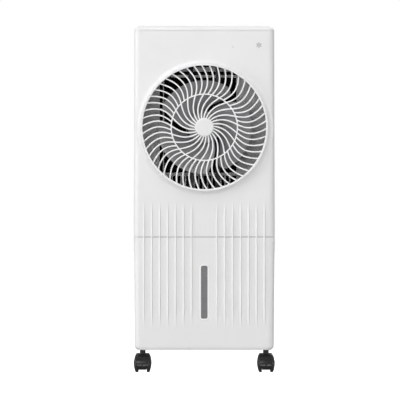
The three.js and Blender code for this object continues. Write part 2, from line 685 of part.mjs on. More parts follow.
// A turn catch: its arm lies level when free, and turns down over the tank's panel.
function tankLatch() {
	const [reach, tip] = CATCH_ARM;
	const shape = new THREE.Shape().absarc(0, 0, CATCH_RADIUS, 30 * RAD, 330 * RAD);
	shape.lineTo(reach, -tip);
	shape.absarc(reach, 0, tip, -90 * RAD, 90 * RAD);
	shape.closePath();
	return plate(shape, [REAR + 0.4, REAR + 3]).subtract(rod('y', 3.4, [REAR - 5, REAR + 9]));
}

function latchPin() {
	return turned('y', [
		[0, REAR - 8], [3, REAR - 8], [3, REAR + 3.2], [6, REAR + 3.3], [5, REAR + 4], [0, REAR + 4],
	]);
}

// ---------------------------------------------------------------- base and tank

function lowerEdge(depth) {
	const [inwards, up] = BOTTOM_ROUND;
	const section = (part, extra) => {
		const z = BOTTOM + up * part;
		const round = inwards * Math.pow(1 - part, 2.2);
		const half = lowerHalfWidth(z) - round * (1 - FRONT_ROUND);
		return housingOutline(half, z + extra, round * FRONT_ROUND + depth);
	};
	return [0, 0.15, 0.4, 1].map((part) => section(part, depth));
}

function baseShell() {
	const outer = loft(...lowerEdge(0), housingOutline(HALF_WIDTH_SEAM, SEAM - GAP / 2, 0));
	const inner = loft(...lowerEdge(WALL), housingOutline(HALF_WIDTH_SEAM, SEAM + 1, WALL));
	const sill = TANK_PANEL_Z[0] - 0.5;
	const doorway = (z) => housingOutline(lowerHalfWidth(z), z, WALL, REAR + 20);
	const bay = loft(doorway(sill), doorway(SEAM + 1));
	const window = roundedPlate(
		[-LEVEL_HALF_WIDTH, LEVEL_HALF_WIDTH], LEVEL_Z, 4, [FRONT - 5, FRONT + 10],
	);
	const bosses = casterPlaces().map(({ x, y }) => (
		rod('z', STEM_BOSS_RADIUS, [BOTTOM + 1, STEM_TOP + 5], [x, y, 0])
	));
	const sockets = casterPlaces().map(({ x, y }) => (
		rod('z', STEM_HOLE_RADIUS, [BOTTOM - 5, STEM_TOP + 1], [x, y, 0])
	));
	const railY = [FRONT + EDGE_RADIUS, TANK_Y[1]];
	const rails = [-TANK_RAIL_X, TANK_RAIL_X].map((x) => (
		box(grown([x, x], 2), railY, [BOTTOM + 2, TANK_Z[0] - GAP])
	));
	const ledges = [[-149, -141], [141, 149]].map((x) => box(x, [FRONT + 2, REAR - 12], [280, SEAM - GAP / 2]));
	const shell = cut(outer, inner, bay, window);
	return cut(join(shell, bosses, rails, ledges, flutes(SEAM - GAP / 2, FLUTE_FOOT)), sockets);
}

function levelWindow() {
	const half = LEVEL_HALF_WIDTH - GAP;
	const [z0, z1] = LEVEL_Z;
	const face = roundedPlate([-half, half], [z0 + GAP, z1 - GAP], 3.7, [FRONT + 0.8, FRONT + WALL + 1]);
	return face.add(roundedPlate([-10, 10], [z0 - 3, z1 + 3], 5, [FRONT + WALL + GAP, FRONT + WALL + 2]));
}

function waterTank() {
	const outer = outlinedBlock(TANK_HALF_WIDTH, TANK_Y, 10, TANK_Z);
	const [y0, y1] = TANK_Y;
	const within = [TANK_Z[0] + WALL, TANK_Z[1] + 5];
	const inner = outlinedBlock(TANK_HALF_WIDTH - WALL, [y0 + WALL, y1 - WALL], 7, within);
	return cut(outer, inner, rod('y', DRAIN_RADIUS, [y1 - 10, y1 + 10], [0, 0, DRAIN_Z]));
}

const PULL_Z = [250, 283];
const PULL_HALF_WIDTH = 52;

// The outer wall of the tank drawer, with a hand pull moulded into it above the water line.
function tankPanel() {
	const y = [REAR - 10, REAR - 0.4];
	const side = (z) => lowerHalfWidth(z) - WALL - 0.6;
	const edge = (z) => [[-1, y[0]], [1, y[0]], [1, y[1]], [-1, y[1]]]
		.map(([s, v]) => new THREE.Vector3(s * side(z), v, z));
	const slab = loft(edge(TANK_PANEL_Z[0]), edge(TANK_PANEL_Z[1]));
	const hollow = box([-140, 140], [y[0] - 5, y[1] - 4], [TANK_PANEL_Z[0] + 4, TANK_PANEL_Z[1] - 4]);
	const pull = [-PULL_HALF_WIDTH, PULL_HALF_WIDTH];
	const cup = box([pull[0] - 2, pull[1] + 2], [REAR - 32, y[1] - 2], [PULL_Z[0] - 2, PULL_Z[1] + 2]);
	const hand = box(pull, [REAR - 30, REAR + 5], PULL_Z);
	const boss = rod('y', 16, [y[0], y[1] - 2], [0, 0, DRAIN_Z]);
	const recess = rod('y', 13.5, [REAR - 6, REAR + 5], [0, 0, DRAIN_Z]);
	const drain = rod('y', DRAIN_RADIUS, [REAR - 20, REAR + 5], [0, 0, DRAIN_Z]);
	return cut(join(slab.subtract(hollow), cup, boss), hand, recess, drain);
}

function drainPlug() {
	const [tip, under, over] = [TANK_Y[1] - 6, REAR - 5.6, REAR - 2.5];
	const [shank, head] = [DRAIN_RADIUS - 0.5, 12.5];
	const profile = [[0, tip], [shank, tip], [shank, under], [head, under], [head, over], [0, over]];
	const grip = box([-2, 2], [over - 1, REAR - 0.4], [-10, 10]);
	return turned('y', profile).add(grip);
}

// ---------------------------------------------------------------- casters

function casterPlaces() {
	return [['front_left', -1, 0], ['front_right', 1, 0], ['rear_left', -1, 1], ['rear_right', 1, 1]]
		.map(([name, side, row]) => ({ name, x: side * CASTER_X, y: CASTER_Y[row] }));
}

// In a caster's own frame the stem stands on the origin, and the axle is in front of it.
const AXLE = [0, -CASTER_TRAIL, WHEEL_RADIUS];

function casterHood() {
	const drum = rod('x', HOOD_RADIUS, [-HOOD_HALF_WIDTH, HOOD_HALF_WIDTH], AXLE, 20);
	const lower = box([-50, 50], [-100, 100], [-10, WHEEL_RADIUS + 2]);
	const inside = rod('x', HOOD_RADIUS - 1.3, [-50, 50], AXLE, 20);
	const fender = cut(drum, lower, inside);
	const web = rod('x', HOOD_RADIUS - 0.8, [-WEB_HALF_WIDTH, WEB_HALF_WIDTH], AXLE, 20)
		.subtract(box([-50, 50], [-100, 100], [-10, 5.2]));
	const neck = rod('z', 8.5, [WHEEL_RADIUS, WHEEL_RADIUS + HOOD_RADIUS]);
	const socket = rod('z', STEM_RADIUS + GAP, [13, 60]);
	return cut(join(fender, web, neck), socket, rod('x', AXLE_RADIUS + GAP, [-50, 50], AXLE));
}

function casterStem() {
	return rod('z', STEM_RADIUS, [13 + GAP, STEM_TOP]);
}

function casterAxle() {
	return rod('x', AXLE_RADIUS, [-15, 15], AXLE);
}

function casterWheel(side) {
	const inner = WEB_HALF_WIDTH + 0.5;
	const bore = AXLE_RADIUS + GAP;
	const profile = [
		[0, 15.4], [bore, 15.4], [bore, inner], [WHEEL_RADIUS, inner],
		[WHEEL_RADIUS, 13.8], [WHEEL_RADIUS - 1.6, 15.4], [WHEEL_RADIUS - 6.3, 17.2], [0, 19],
	];
	return turned('x', profile.map(([r, a]) => [r, side * a]), AXLE, 18);
}

// ---------------------------------------------------------------- assembly

function add(parent, name, shape, material) {
	const mesh = new THREE.Mesh(toGeometry(shape), material.clone());
	mesh.name = name;
	parent.add(mesh);
}

function addHousing(cooler) {
	add(cooler, 'front_shell', frontShell(), WHITE);
	add(cooler, 'rear_shell', rearShell(), WHITE);
	add(cooler, 'top_cover', topCover(), WHITE);
	add(cooler, 'base_shell', baseShell(), WHITE);
	add(cooler, 'handle_cup_left', handleCup(-1), WHITE);
	add(cooler, 'handle_cup_right', handleCup(1), WHITE);
	add(cooler, 'cord_gland', cordGland(), BLACK);
	add(cooler, 'indicator_lens', lightGuide(INDICATOR), MARK_GREY);
	add(cooler, 'receiver_window', lightGuide(RECEIVER), MARK_GREY);
	add(cooler, 'level_window', levelWindow(), WINDOW_GREY);
}

function addControls(cooler) {
	add(cooler, 'control_panel', controlPanel(), PANEL_BLACK);
	add(cooler, 'display_lens', displayLens(), WINDOW_GREY);
	add(cooler, 'control_board', controlBoard(), BOARD_GREEN);
	for (const [name, x] of Object.entries(BUTTON_X)) {
		const place = new THREE.Group();
		place.position.set(x, PANEL_MID_Y, 0);
		add(place, `button_${name}`, pushButton(), PALE_GREY);
		cooler.add(place);
	}
}

function addFan(cooler) {
	const axis = new THREE.Group();
	axis.position.z = FAN_Z;
	add(axis, 'front_grille', frontGrille(), WHITE);
	add(axis, 'grille_cap', grilleCap(), WHITE);
	add(axis, 'fan_blades', fanBlades(), BLADE_GREY);
	add(axis, 'fan_nut', fanNut(), BLACK);
	add(axis, 'motor_shaft', motorShaft(), STEEL);
	add(axis, 'motor_housing', motorHousing(), DARK_STEEL);
	add(axis, 'motor_mount', motorMount(), DARK_STEEL);
	cooler.add(axis);
}

function addCooling(cooler) {
	add(cooler, 'inner_frame', innerFrame(), WHITE);
	add(cooler, 'capacitor', capacitor(), PALE_GREY);
	add(cooler, 'pad_frame', padFrame(), PALE_GREY);
	add(cooler, 'cooling_pad', coolingPad(), PAPER_BROWN);
	add(cooler, 'water_distributor', waterDistributor(), PALE_GREY);
	add(cooler, 'water_hose', waterHose(), CLEAR_BLUE);
	add(cooler, 'water_pump', waterPump(), BLACK);
	add(cooler, 'pump_hanger', pumpHanger(), PALE_GREY);
	add(cooler, 'deck', deck(), PALE_GREY);
}

function addBack(cooler) {
	add(cooler, 'rear_grille', rearGrille(), WHITE);
	add(cooler, 'dust_filter', dustFilter(), FILTER_GREY);
	const catchPlace = new THREE.Group();
	catchPlace.position.z = LATCH_Z;
	add(catchPlace, 'tank_latch', tankLatch(), WHITE);
	add(catchPlace, 'latch_pin', latchPin(), STEEL);
	cooler.add(catchPlace);
}

function addTank(cooler) {
	add(cooler, 'water_tank', waterTank(), CLEAR_BLUE);
	add(cooler, 'tank_panel', tankPanel(), WHITE);
	const plugPlace = new THREE.Group();
	plugPlace.position.z = DRAIN_Z;
	add(plugPlace, 'drain_plug', drainPlug(), BLACK);
	cooler.add(plugPlace);
}

function addCasters(cooler) {
	for (const { name, x, y } of casterPlaces()) {
		const caster = new THREE.Group();
		caster.position.set(x, y, 0);
		add(caster, `caster_${name}_hood`, casterHood(), BLACK);
		add(caster, `caster_${name}_stem`, casterStem(), DARK_STEEL);
		add(caster, `caster_${name}_axle`, casterAxle(), STEEL);
		add(caster, `caster_${name}_wheel_left`, casterWheel(-1), TYRE_BLACK);
		add(caster, `caster_${name}_wheel_right`, casterWheel(1), TYRE_BLACK);
		cooler.add(caster);
	}
}

const group = new THREE.Group();
addHousing(group);
addControls(group);
addFan(group);
addCooling(group);
addBack(group);
addTank(group);
addCasters(group);

export default group;
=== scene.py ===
"""The looks of a portable evaporative cooler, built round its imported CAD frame.

Shapes are (points, faces) in millimetres, +Z up and the front facing -Y.
piece() turns one into a mesh in metres and hangs it on its CAD body.
"""
import math

import bmesh
import bpy
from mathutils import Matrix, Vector


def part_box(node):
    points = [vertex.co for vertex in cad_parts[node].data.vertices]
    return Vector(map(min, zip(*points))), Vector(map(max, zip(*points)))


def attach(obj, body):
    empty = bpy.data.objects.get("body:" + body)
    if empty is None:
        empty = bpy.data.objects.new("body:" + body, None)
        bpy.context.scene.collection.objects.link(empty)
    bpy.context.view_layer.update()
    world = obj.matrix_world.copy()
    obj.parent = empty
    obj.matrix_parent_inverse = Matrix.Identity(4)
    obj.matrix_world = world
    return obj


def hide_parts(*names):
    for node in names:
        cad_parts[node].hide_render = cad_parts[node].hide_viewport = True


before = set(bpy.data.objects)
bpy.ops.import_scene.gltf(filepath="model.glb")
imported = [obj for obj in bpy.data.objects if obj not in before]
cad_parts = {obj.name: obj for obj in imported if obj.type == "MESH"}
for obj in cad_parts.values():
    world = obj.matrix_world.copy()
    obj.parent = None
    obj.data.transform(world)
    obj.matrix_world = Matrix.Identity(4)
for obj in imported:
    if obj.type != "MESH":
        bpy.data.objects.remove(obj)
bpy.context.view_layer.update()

MM = 0.001


def extent(node):
    """Lowest and highest corner of a CAD node, in millimetres."""
    low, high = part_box(node)
    return low / MM, high / MM


# ---------------------------------------------------------------- dimensions, in millimetres

GAP = 0.3
WALL = 3.0
top_low, top_high = extent("top_cover")
base_low, base_high = extent("base_shell")
front_low, front_high = extent("front_shell")
grille_low, grille_high = extent("front_grille")
FRONT, REAR = top_low.y, top_high.y
BOTTOM, SHOULDER, TOP = base_low.z, front_high.z, top_high.z
SEAM = (base_high.z + front_low.z) / 2
SPLIT = front_high.y + GAP / 2
HALF_SEAM, HALF_TOP, HALF_BOTTOM = base_high.x, top_high.x, base_high.x - 2.2
EDGE_RADIUS = 12.0
BOTTOM_ROUND = (6.5, 9.0)
FRONT_ROUND = 0.3
TOP_BEVEL = 9.8
BEVEL_POWER = 1.38

FLUTES_PER_SIDE = 7
FLUTE_FIRST_X = 27.1
FLUTE_PITCH = 17.03
FLUTE_WIDTH = 4.6
FLUTE_HEIGHT = FRONT - base_low.y
FLUTE_TOP = (326.0, 367.0)
FLUTE_FOOT = (143.0, 93.0)

FAN_Z = (grille_low.z + grille_high.z) / 2
CREST = grille_low.y
RIM_RADIUS = 136.0
OPENING_RADIUS = 132.5
FLARE_RADIUS = 146.5
DUCT_REAR = -100.0
LONG_RIBS = 25
RIB_FRONT, RIB_REAR = -136.5, -128.5
RIB_WIDTH = 3.0
RING_RADIUS = 71.0
CAP_RADIUS = 20.0
HUB_RADIUS = 35.0
TIP_RADIUS = 101.0
FAN_PHASE = 77.0
FAN_FRONT, FAN_REAR = extent("fan_blades")[0].y, -76.0
MOTOR_FRONT, MOTOR_REAR = -68.0, -10.0

WHEEL_RADIUS = 18.8
HOOD_RADIUS = 20.8
HOOD_HALF = 14.5
WEB_HALF = 8.5
CASTER_TRAIL = 12.0


def lerp(a, b, t):
    return a + (b - a) * t


def around(middle, half):
    return middle - half, middle + half


def off(base, rows):
    """Rows of (radius or inset, place), their places given from a base."""
    return [(r, base + a) for r, a in rows]


def steps(a, b, count):
    return [lerp(a, b, i / count) for i in range(count + 1)]


# ---------------------------------------------------------------- shapes

def skin(rings, wrap=False, caps="flat"):
    """A closed skin through rings of equal length. Ladder caps suit a thin curved section."""
    n = len(rings[0])
    points = [tuple(p) for ring in rings for p in ring]
    faces = []
    for i in range(len(rings) if wrap else len(rings) - 1):
        a, b = i * n, (i + 1) % len(rings) * n
        faces += [(a + j, a + (j + 1) % n, b + (j + 1) % n, b + j) for j in range(n)]
    for start in () if wrap or not caps else (0, (len(rings) - 1) * n):
        if caps == "flat":
            faces.append(tuple(start + j for j in range(n)))
        else:
            faces += [(start + j, start + j + 1, start + n - 2 - j, start + n - 1 - j)
                for j in range(n // 2 - 1)]
    return points, faces


def lift(outline, depth, plane):
    """A 2-D outline set square to an axis, at a depth along it."""
    order = {"x": (2, 0, 1), "y": (0, 2, 1), "z": (0, 1, 2)}[plane]
    return [tuple((u, v, depth)[k] for k in order) for u, v in outline]


def arc(centre_u, centre_v, radius, start, end, count=10):
    turns = [math.radians(a) for a in steps(start, end, count)]
    return [(centre_u + radius * math.cos(a), centre_v + radius * math.sin(a)) for a in turns]


def rounded(u, v, radius, inset=0.0, count=5):
    """A rounded rectangle, anticlockwise, drawn in from its edge by inset."""
    r = max(radius - inset, 0.2)
    (u0, u1), (v0, v1) = (u[0] + inset + r, u[1] - inset - r), (v[0] + inset + r, v[1] - inset - r)
    corners = ((u1, v1, 0), (u0, v1, 90), (u0, v0, 180), (u1, v0, 270))
    return [p for cu, cv, start in corners for p in arc(cu, cv, r, start, start + 90, count)]


def slab(u, v, radius, rows, plane="y", count=5):
    """A solid with a rounded rectangle for its outline, through rows of (inset, depth)."""
    return skin([lift(rounded(u, v, radius, inset, count), depth, plane) for inset, depth in rows])


def edged(low, high, edge):
    """Rows for a slab between two depths whose edges are eased."""
    return [(edge, low), (0.3 * edge, low + 0.3 * edge), (0, low + edge), (0, high - edge),
        (0.3 * edge, high - 0.3 * edge), (edge, high)]


def block(x, y, z):
    corners = [(x[0], y[0]), (x[1], y[0]), (x[1], y[1]), (x[0], y[1])]
    return skin([lift(corners, level, "z") for level in z])


def turned(profile, axis="y", centre=(0, 0, 0), sides=64):
    """A profile of (radius, place along the axis), turned; it closes on the axis or on itself."""
    middle = Vector(centre)
    rings = [[middle + Vector(p) for p in lift(arc(0, 0, r, 0, 360 * (1 - 1 / sides), sides - 1), a, axis)]
        for r, a in profile]
    return skin(rings, wrap=profile[0][0] > 0 or profile[-1][0] > 0, caps=None)


def rod(axis, radius, span, centre=(0, 0, 0), edge=0.0, sides=32):
    a, b = span
    profile = [(0, a), (radius - edge, a), (radius, a + edge), (radius, b - edge), (radius - edge, b), (0, b)]
    return turned(profile if edge else [(0, a), (radius, a), (radius, b), (0, b)], axis, centre, sides)


def eased(points, size, count=3, closed=False):
    """A line with its corners eased by short curves."""
    made = []
    for i, p in enumerate(points):
        if not closed and i in (0, len(points) - 1):
            made.append(tuple(p))
            continue
        p, a, b = (Vector(points[k % len(points)]) for k in (i, i - 1, i + 1))
        cut = min(size, 0.45 * (a - p).length, 0.45 * (b - p).length)
        start, end = p + (a - p).normalized() * cut, p + (b - p).normalized() * cut
        made += [tuple(start * (1 - t) ** 2 + p * 2 * t * (1 - t) + end * t * t) for t in steps(0, 1, count)]
    return made


def shifted(shape, dx=0.0, dy=0.0, dz=0.0):
    return [(x + dx, y + dy, z + dz) for x, y, z in shape[0]], shape[1]


def spun(shape, degrees):
    """A shape made round the Y axis at the origin, turned from +X towards +Z."""
    c, s = math.cos(math.radians(degrees)), math.sin(math.radians(degrees))
    return [(x * c - z * s, y, x * s + z * c) for x, y, z in shape[0]], shape[1]


def heap(shapes):
    """Shapes that stay apart, as one mesh."""
    points, faces = [], []
    for more_points, more_faces in shapes:
        faces += [tuple(i + len(points) for i in f) for f in more_faces]
        points += more_points
    return points, faces


def add_object(name, data):
    thing = bpy.data.objects.new(name, data)
    bpy.context.scene.collection.objects.link(thing)
    return thing


def build_mesh(name, shape, scale=1.0):
    mesh = bpy.data.meshes.new(name)
    mesh.from_pydata([(x * scale, y * scale, z * scale) for x, y, z in shape[0]], [], shape[1])
    work = bmesh.new()
    work.from_mesh(mesh)
    bmesh.ops.remove_doubles(work, verts=work.verts, dist=2e-4 * scale)
    bmesh.ops.dissolve_degenerate(work, edges=work.edges, dist=1e-4 * scale)
    bmesh.ops.recalc_face_normals(work, faces=work.faces)
    work.to_mesh(mesh)
    work.free()
    return mesh


def boolean(base, operations):
    """Unions and differences in turn, as (operation, shape) pairs."""
    made = [add_object("work", build_mesh("work", shape)) for shape in [base, *(s for _, s in operations)]]
    for (operation, _), tool in zip(operations, made[1:]):
        modifier = made[0].modifiers.new("cut", "BOOLEAN")
        modifier.operation, modifier.solver, modifier.object = operation, "MANIFOLD", tool
    evaluated = made[0].evaluated_get(bpy.context.evaluated_depsgraph_get())
    mesh = evaluated.to_mesh()
    result = [tuple(v.co) for v in mesh.vertices], [tuple(p.vertices) for p in mesh.polygons]
    evaluated.to_mesh_clear()
    for thing in made:
        bpy.data.meshes.remove(thing.data)
    return result


def join(base, *more):
    return boolean(base, [("UNION", s) for s in more])


def carve(base, *tools):
    return boolean(base, [("DIFFERENCE", s) for s in tools])


# ---------------------------------------------------------------- materials

GRAIN_SCALE = 1400.0


def wire(tree, kind, settings=None, **inputs):
    """A node with its settings, and its inputs given as values or as outputs of other nodes."""
    node = tree.nodes.new("ShaderNode" + kind)
    for key, value in (settings or {}).items():
        setattr(node, key, value)
    for key, value in inputs.items():
        socket = node.inputs[key.replace("_", " ")]
        if isinstance(value, bpy.types.NodeSocket):
            tree.links.new(value, socket)
        else:
            socket.default_value = value
    return node


def noise(tree, place, scale, detail, roughness=0.5, **more):
    inputs = {"Vector": place, "Scale": scale, "Detail": detail, "Roughness": roughness, **more}
    return wire(tree, "TexNoise", **inputs).outputs["Fac"]


def ranged(tree, value, low, high, to_low=0.0, to_high=1.0):
    """A value stretched from one span to another, and held inside it."""
    spans = {"From_Min": low, "From_Max": high, "To_Min": to_low, "To_Max": to_high}
    return wire(tree, "MapRange", Value=value, **spans).outputs["Result"]


def reckoned(tree, operation, *values):
    node = wire(tree, "Math", {"operation": operation})
    for value, socket in zip(values, node.inputs):
        tree.links.new(value, socket)
    return node.outputs[0]


def mixed(tree, factor, first, second):
    mix = wire(tree, "Mix", {"data_type": "RGBA"})
    tree.links.new(factor, mix.inputs[0])
    for socket, value in ((mix.inputs[6], first), (mix.inputs[7], second)):
        if isinstance(value, bpy.types.NodeSocket):
            tree.links.new(value, socket)
        else:
            socket.default_value = (*value, 1.0)
    return mix.outputs[2]


looks = {}


def finish_of(name, colour, roughness, tone=0.04, tone_scale=14.0, gloss=0.07, grain=0.02, stretch=(1, 1, 1),
        extra=None, **sockets):
    """A surface with cloudy tone, uneven gloss and a fine moulded or drawn grain.

    tone and gloss are how far colour and roughness stray; grain is the height of the fine relief
    in millimetres."""
    looks[name] = material = bpy.data.materials.new(name)
    material.use_nodes = True
    tree = material.node_tree
    shader = tree.nodes["Principled BSDF"]
    for key, value in sockets.items():
        shader.inputs[key.replace("_", " ")].default_value = value
    place = wire(tree, "TexCoord").outputs["Object"]
    drawn = wire(tree, "Mapping", Vector=place, Scale=stretch).outputs["Vector"]
    share = ranged(tree, noise(tree, place, tone_scale, 5.0, 0.6), 0.3, 0.7)
    dark, light = ([min(c * k, 1.0) for c in colour] for k in (1 - tone, 1 + tone))
    tint = mixed(tree, share, dark, light)
    height = noise(tree, drawn, GRAIN_SCALE, 3.0, 0.55)
    if extra:
        tint, height = extra(tree, place, tint, height)
    tree.links.new(tint, shader.inputs["Base Color"])
    smear = noise(tree, drawn, tone_scale * 6, 6.0, 0.7)
    uneven = ranged(tree, smear, 0.3, 0.7, max(roughness - gloss, 0.02), roughness + gloss)
    tree.links.new(uneven, shader.inputs["Roughness"])
    relief = wire(tree, "Bump", Height=height, Strength=1.0, Distance=grain * MM)
    tree.links.new(relief.outputs["Normal"], shader.inputs["Normal"])


def scuffs(tree, place, tint, fine):
    """Faint marks low on the housing, where shoes and a mop meet it."""
    level = wire(tree, "SeparateXYZ", Vector=place).outputs["Z"]
    low = ranged(tree, level, 0.045, 0.15, 1.0, 0.0)
    marks = ranged(tree, noise(tree, place, 60.0, 8.0, 0.75), 0.60, 0.68, 0.0, 0.12)
    return mixed(tree, reckoned(tree, "MULTIPLY", low, marks), tint, (0.42, 0.41, 0.39)), fine


def fibres(tree, place, tint, fine):
    """Cellulose fibres with mineral traces where the water runs, in near-black tones that are painted shade.
    """
    threads = noise(tree, place, 420.0, 8.0, 0.8, Distortion=2.5)
    chalk = ranged(tree, noise(tree, place, 25.0, 6.0, 0.7), 0.55, 0.75, 0.0, 0.35)
    tint = mixed(tree, ranged(tree, threads, 0.35, 0.7), tint, (0.022, 0.017, 0.012))
    return mixed(tree, chalk, tint, (0.035, 0.032, 0.027)), threads


def weave(tree, place, tint, fine):
    """Crossed threads a millimetre apart, with dust caught between them."""
    wave = {"Vector": place, "Scale": 160.0, "Distortion": 0.2}
    waves = [wire(tree, "TexWave", {"bands_direction": axis}, **wave).outputs["Fac"] for axis in ("X", "Z")]
    dust = ranged(tree, noise(tree, place, 35.0, 6.0), 0.5, 0.8, 0.0, 0.3)
    return mixed(tree, dust, tint, (0.22, 0.21, 0.20)), reckoned(tree, "MAXIMUM", *waves)


def tracks(tree, place, tint, fine):
    """Copper tracks under green lacquer."""
    lines = wire(tree, "TexBrick", {"offset": 0.5}, Vector=place, Scale=60.0, Mortar_Size=0.06,
        Color1=(0, 0, 0, 1), Color2=(0, 0, 0, 1), Mortar=(1, 1, 1, 1)).outputs["Fac"]
    return mixed(tree, lines, tint, (0.03, 0.22, 0.08)), lines


def treads(tree, place, tint, fine):
    """Floor dust rubbed into a wheel."""
    rubbed = noise(tree, place, 180.0, 7.0, 0.75)
    return mixed(tree, ranged(tree, rubbed, 0.5, 0.72, 0.0, 0.35), tint, (0.10, 0.10, 0.10)), rubbed


WHITE_ABS = (0.85, 0.852, 0.853)
finish_of("housing_white", WHITE_ABS, 0.40, tone=0.012, gloss=0.05, grain=0.012, extra=scuffs)
# A brighter copy of the housing white: painted light on the fan guard, the rear louvres and the catch.
finish_of("guard_white_painted_light", (0.92, 0.92, 0.92), 0.30, tone=0.012, gloss=0.05, grain=0.006)
# A brighter copy of the housing white: a painted highlight on the lip round the level window.
finish_of("rim_painted_highlight", (0.97, 0.97, 0.97), 0.25, tone=0.01, gloss=0.03, grain=0.003)
finish_of("pale_plastic", (0.60, 0.62, 0.63), 0.46, tone=0.03, grain=0.02)
# A brighter copy of the housing white: painted light on the bulkhead deep inside, where little light reaches.
finish_of("inner_white_painted_light", (0.93, 0.932, 0.934), 0.5, tone=0.03, grain=0.02)
finish_of("blade_grey", (0.29, 0.295, 0.30), 0.22, tone=0.05, tone_scale=30, grain=0.01, Coat_Weight=0.25,
    Coat_Roughness=0.15)
finish_of("black_plastic", (0.018, 0.018, 0.019), 0.42, tone=0.15, grain=0.03)
finish_of("hood_black", (0.011, 0.011, 0.012), 0.26, tone=0.15, gloss=0.03, grain=0.01)
finish_of("wheel_black", (0.012, 0.012, 0.013), 0.5, tone=0.2, grain=0.03, extra=treads)
finish_of("panel_black", (0.010, 0.011, 0.012), 0.09, tone=0.1, gloss=0.04, grain=0.001, Coat_Weight=1.0,
    Coat_Roughness=0.05)
finish_of("window_grey", (0.19, 0.195, 0.20), 0.30, tone=0.05, tone_scale=40, grain=0.004, Coat_Weight=0.4,
    Coat_Roughness=0.12)
finish_of("display_smoke", (0.014, 0.016, 0.018), 0.12, tone=0.1, grain=0.001, Coat_Weight=0.8)
finish_of("mark_grey", (0.27, 0.275, 0.28), 0.5, tone=0.04, grain=0.006)
finish_of("light_guide", WHITE_ABS, 0.38, tone=0.01, grain=0.006)
finish_of("tank_plastic", (0.80, 0.89, 0.93), 0.32, tone=0.03, grain=0.03, Transmission_Weight=0.55, IOR=1.49)
finish_of("hose_vinyl", (0.85, 0.90, 0.90), 0.2, tone=0.03, grain=0.01, Transmission_Weight=0.7, IOR=1.5)
# Near-black: the pad's colour is painted shade, for the dark deep behind the fan.
finish_of("pad_paper", (0.014, 0.012, 0.009), 0.95, tone=0.25, tone_scale=40, grain=0.25, extra=fibres)
finish_of("filter_mesh", (0.055, 0.058, 0.062), 0.85, tone=0.15, grain=0.2, extra=weave)
finish_of("circuit_board", (0.012, 0.10, 0.04), 0.35, tone=0.06, grain=0.04, extra=tracks)
finish_of("steel", (0.62, 0.63, 0.64), 0.30, tone=0.06, grain=0.01, stretch=(1, 1, 12), Metallic=1.0)
finish_of("motor_steel", (0.085, 0.09, 0.095), 0.45, tone=0.25, tone_scale=60, grain=0.03, Metallic=0.85)
finish_of("black_steel", (0.03, 0.03, 0.032), 0.4, tone=0.2, tone_scale=60, grain=0.02, Metallic=0.5)
# A darker copy of the pale plastic for the strip in the seam: painted shade.
finish_of("seam_painted_shade", (0.30, 0.305, 0.31), 0.7, tone=0.08, grain=0.02)
finish_of("receiver_grey", (0.76, 0.77, 0.78), 0.3, tone=0.02, grain=0.004)


# ---------------------------------------------------------------- pieces

# Looks whose slot has another name than their own.
SLOTS = {"guard_white_painted_light": "housing_white", "inner_white_painted_light": "housing_white", "rim_painted_highlight": "housing_white",
    "hood_black": "black_plastic", "black_steel": "dark_steel", "motor_steel": "dark_steel",
    "seam_painted_shade": "pale_plastic", "display_smoke": "window_grey", "receiver_grey": "light_guide"}


def ease_edges(thing, width, angle):
    ease = thing.modifiers.new("ease", "BEVEL")
    ease.width, ease.segments, ease.limit_method = width * MM, 2, "ANGLE"
    ease.angle_limit = math.radians(angle)
    return ease


def piece(name, shape, look, nodes=(), body="housing", slot=None, bevel=0.0, smooth=32, weighted=False):
    """A shape with its look, on its CAD body and in the place of its CAD nodes; its slot is worked out but
    not kept.
    """
    mesh = build_mesh(name, shape, MM)
    mesh.materials.append(looks[look])
    thing = add_object(name, mesh)
    mesh.shade_smooth()
    mesh.set_sharp_from_angle(angle=math.radians(smooth))
    if bevel:
        ease_edges(thing, bevel, 35).harden_normals = True
    if weighted or bevel:
        thing.modifiers.new("normals", "WEIGHTED_NORMAL").keep_sharp = True
    slot = slot or SLOTS.get(look, look)
    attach(thing, body)
    if nodes:
        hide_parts(*nodes)


def keep(node, look, bevel):
    """A CAD node that stays as it is, with eased edges and a real material."""
    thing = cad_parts[node]
    for place in thing.material_slots:
        place.material = looks[look]
    ease_edges(thing, bevel, 40)


# ---------------------------------------------------------------- housing

def half_width(z):
    if z >= SEAM:
        return lerp(HALF_SEAM, HALF_TOP, (z - SEAM) / (SHOULDER - SEAM))
    return lerp(HALF_BOTTOM, HALF_SEAM, (z - BOTTOM) / (SEAM - BOTTOM))


def flute_share(z):
    """How much of a flute's height stands at this level: all by the seam, none past its end."""
    full, end = FLUTE_TOP if z >= SEAM else FLUTE_FOOT
    t = min(max((z - full) / (end - full), 0), 1)
    return (0.5 + 0.5 * math.cos(math.pi * t)) ** 0.8


def flute_line():
    """Places across the front, left to right, with the share of a flute's height at each."""
    centres = sorted(s * (FLUTE_FIRST_X + i * FLUTE_PITCH) for i in range(FLUTES_PER_SIDE) for s in (-1, 1))
    bump = [(u, math.cos(u / FLUTE_WIDTH * math.pi) ** 0.9 if abs(u) < FLUTE_WIDTH / 2 else 0)
        for u in steps(-FLUTE_WIDTH / 2, FLUTE_WIDTH / 2, 10)]
    return [(x + u, share) for x in centres for u, share in bump]


FLUTE_LINE = flute_line()


def front_line(half, inset, share=None):
    """Plan of the front from left to right, with its two rounded edges and the share of the flutes."""
    r = max(EDGE_RADIUS - inset, 1.0)
    u, v = half - inset - r, FRONT + inset + r
    line = [] if share is None else FLUTE_LINE
    flutes = [(x, FRONT + inset - FLUTE_HEIGHT * part * share) for x, part in line]
    return arc(-u, v, r, 180, 270) + flutes + arc(u, v, r, 270, 360)


def back_line(half, inset, back=REAR):
    r = max(EDGE_RADIUS - inset, 1.0)
    u, v = half - inset - r, back - inset - r
    return arc(u, v, r, 0, 90) + arc(-u, v, r, 90, 180)


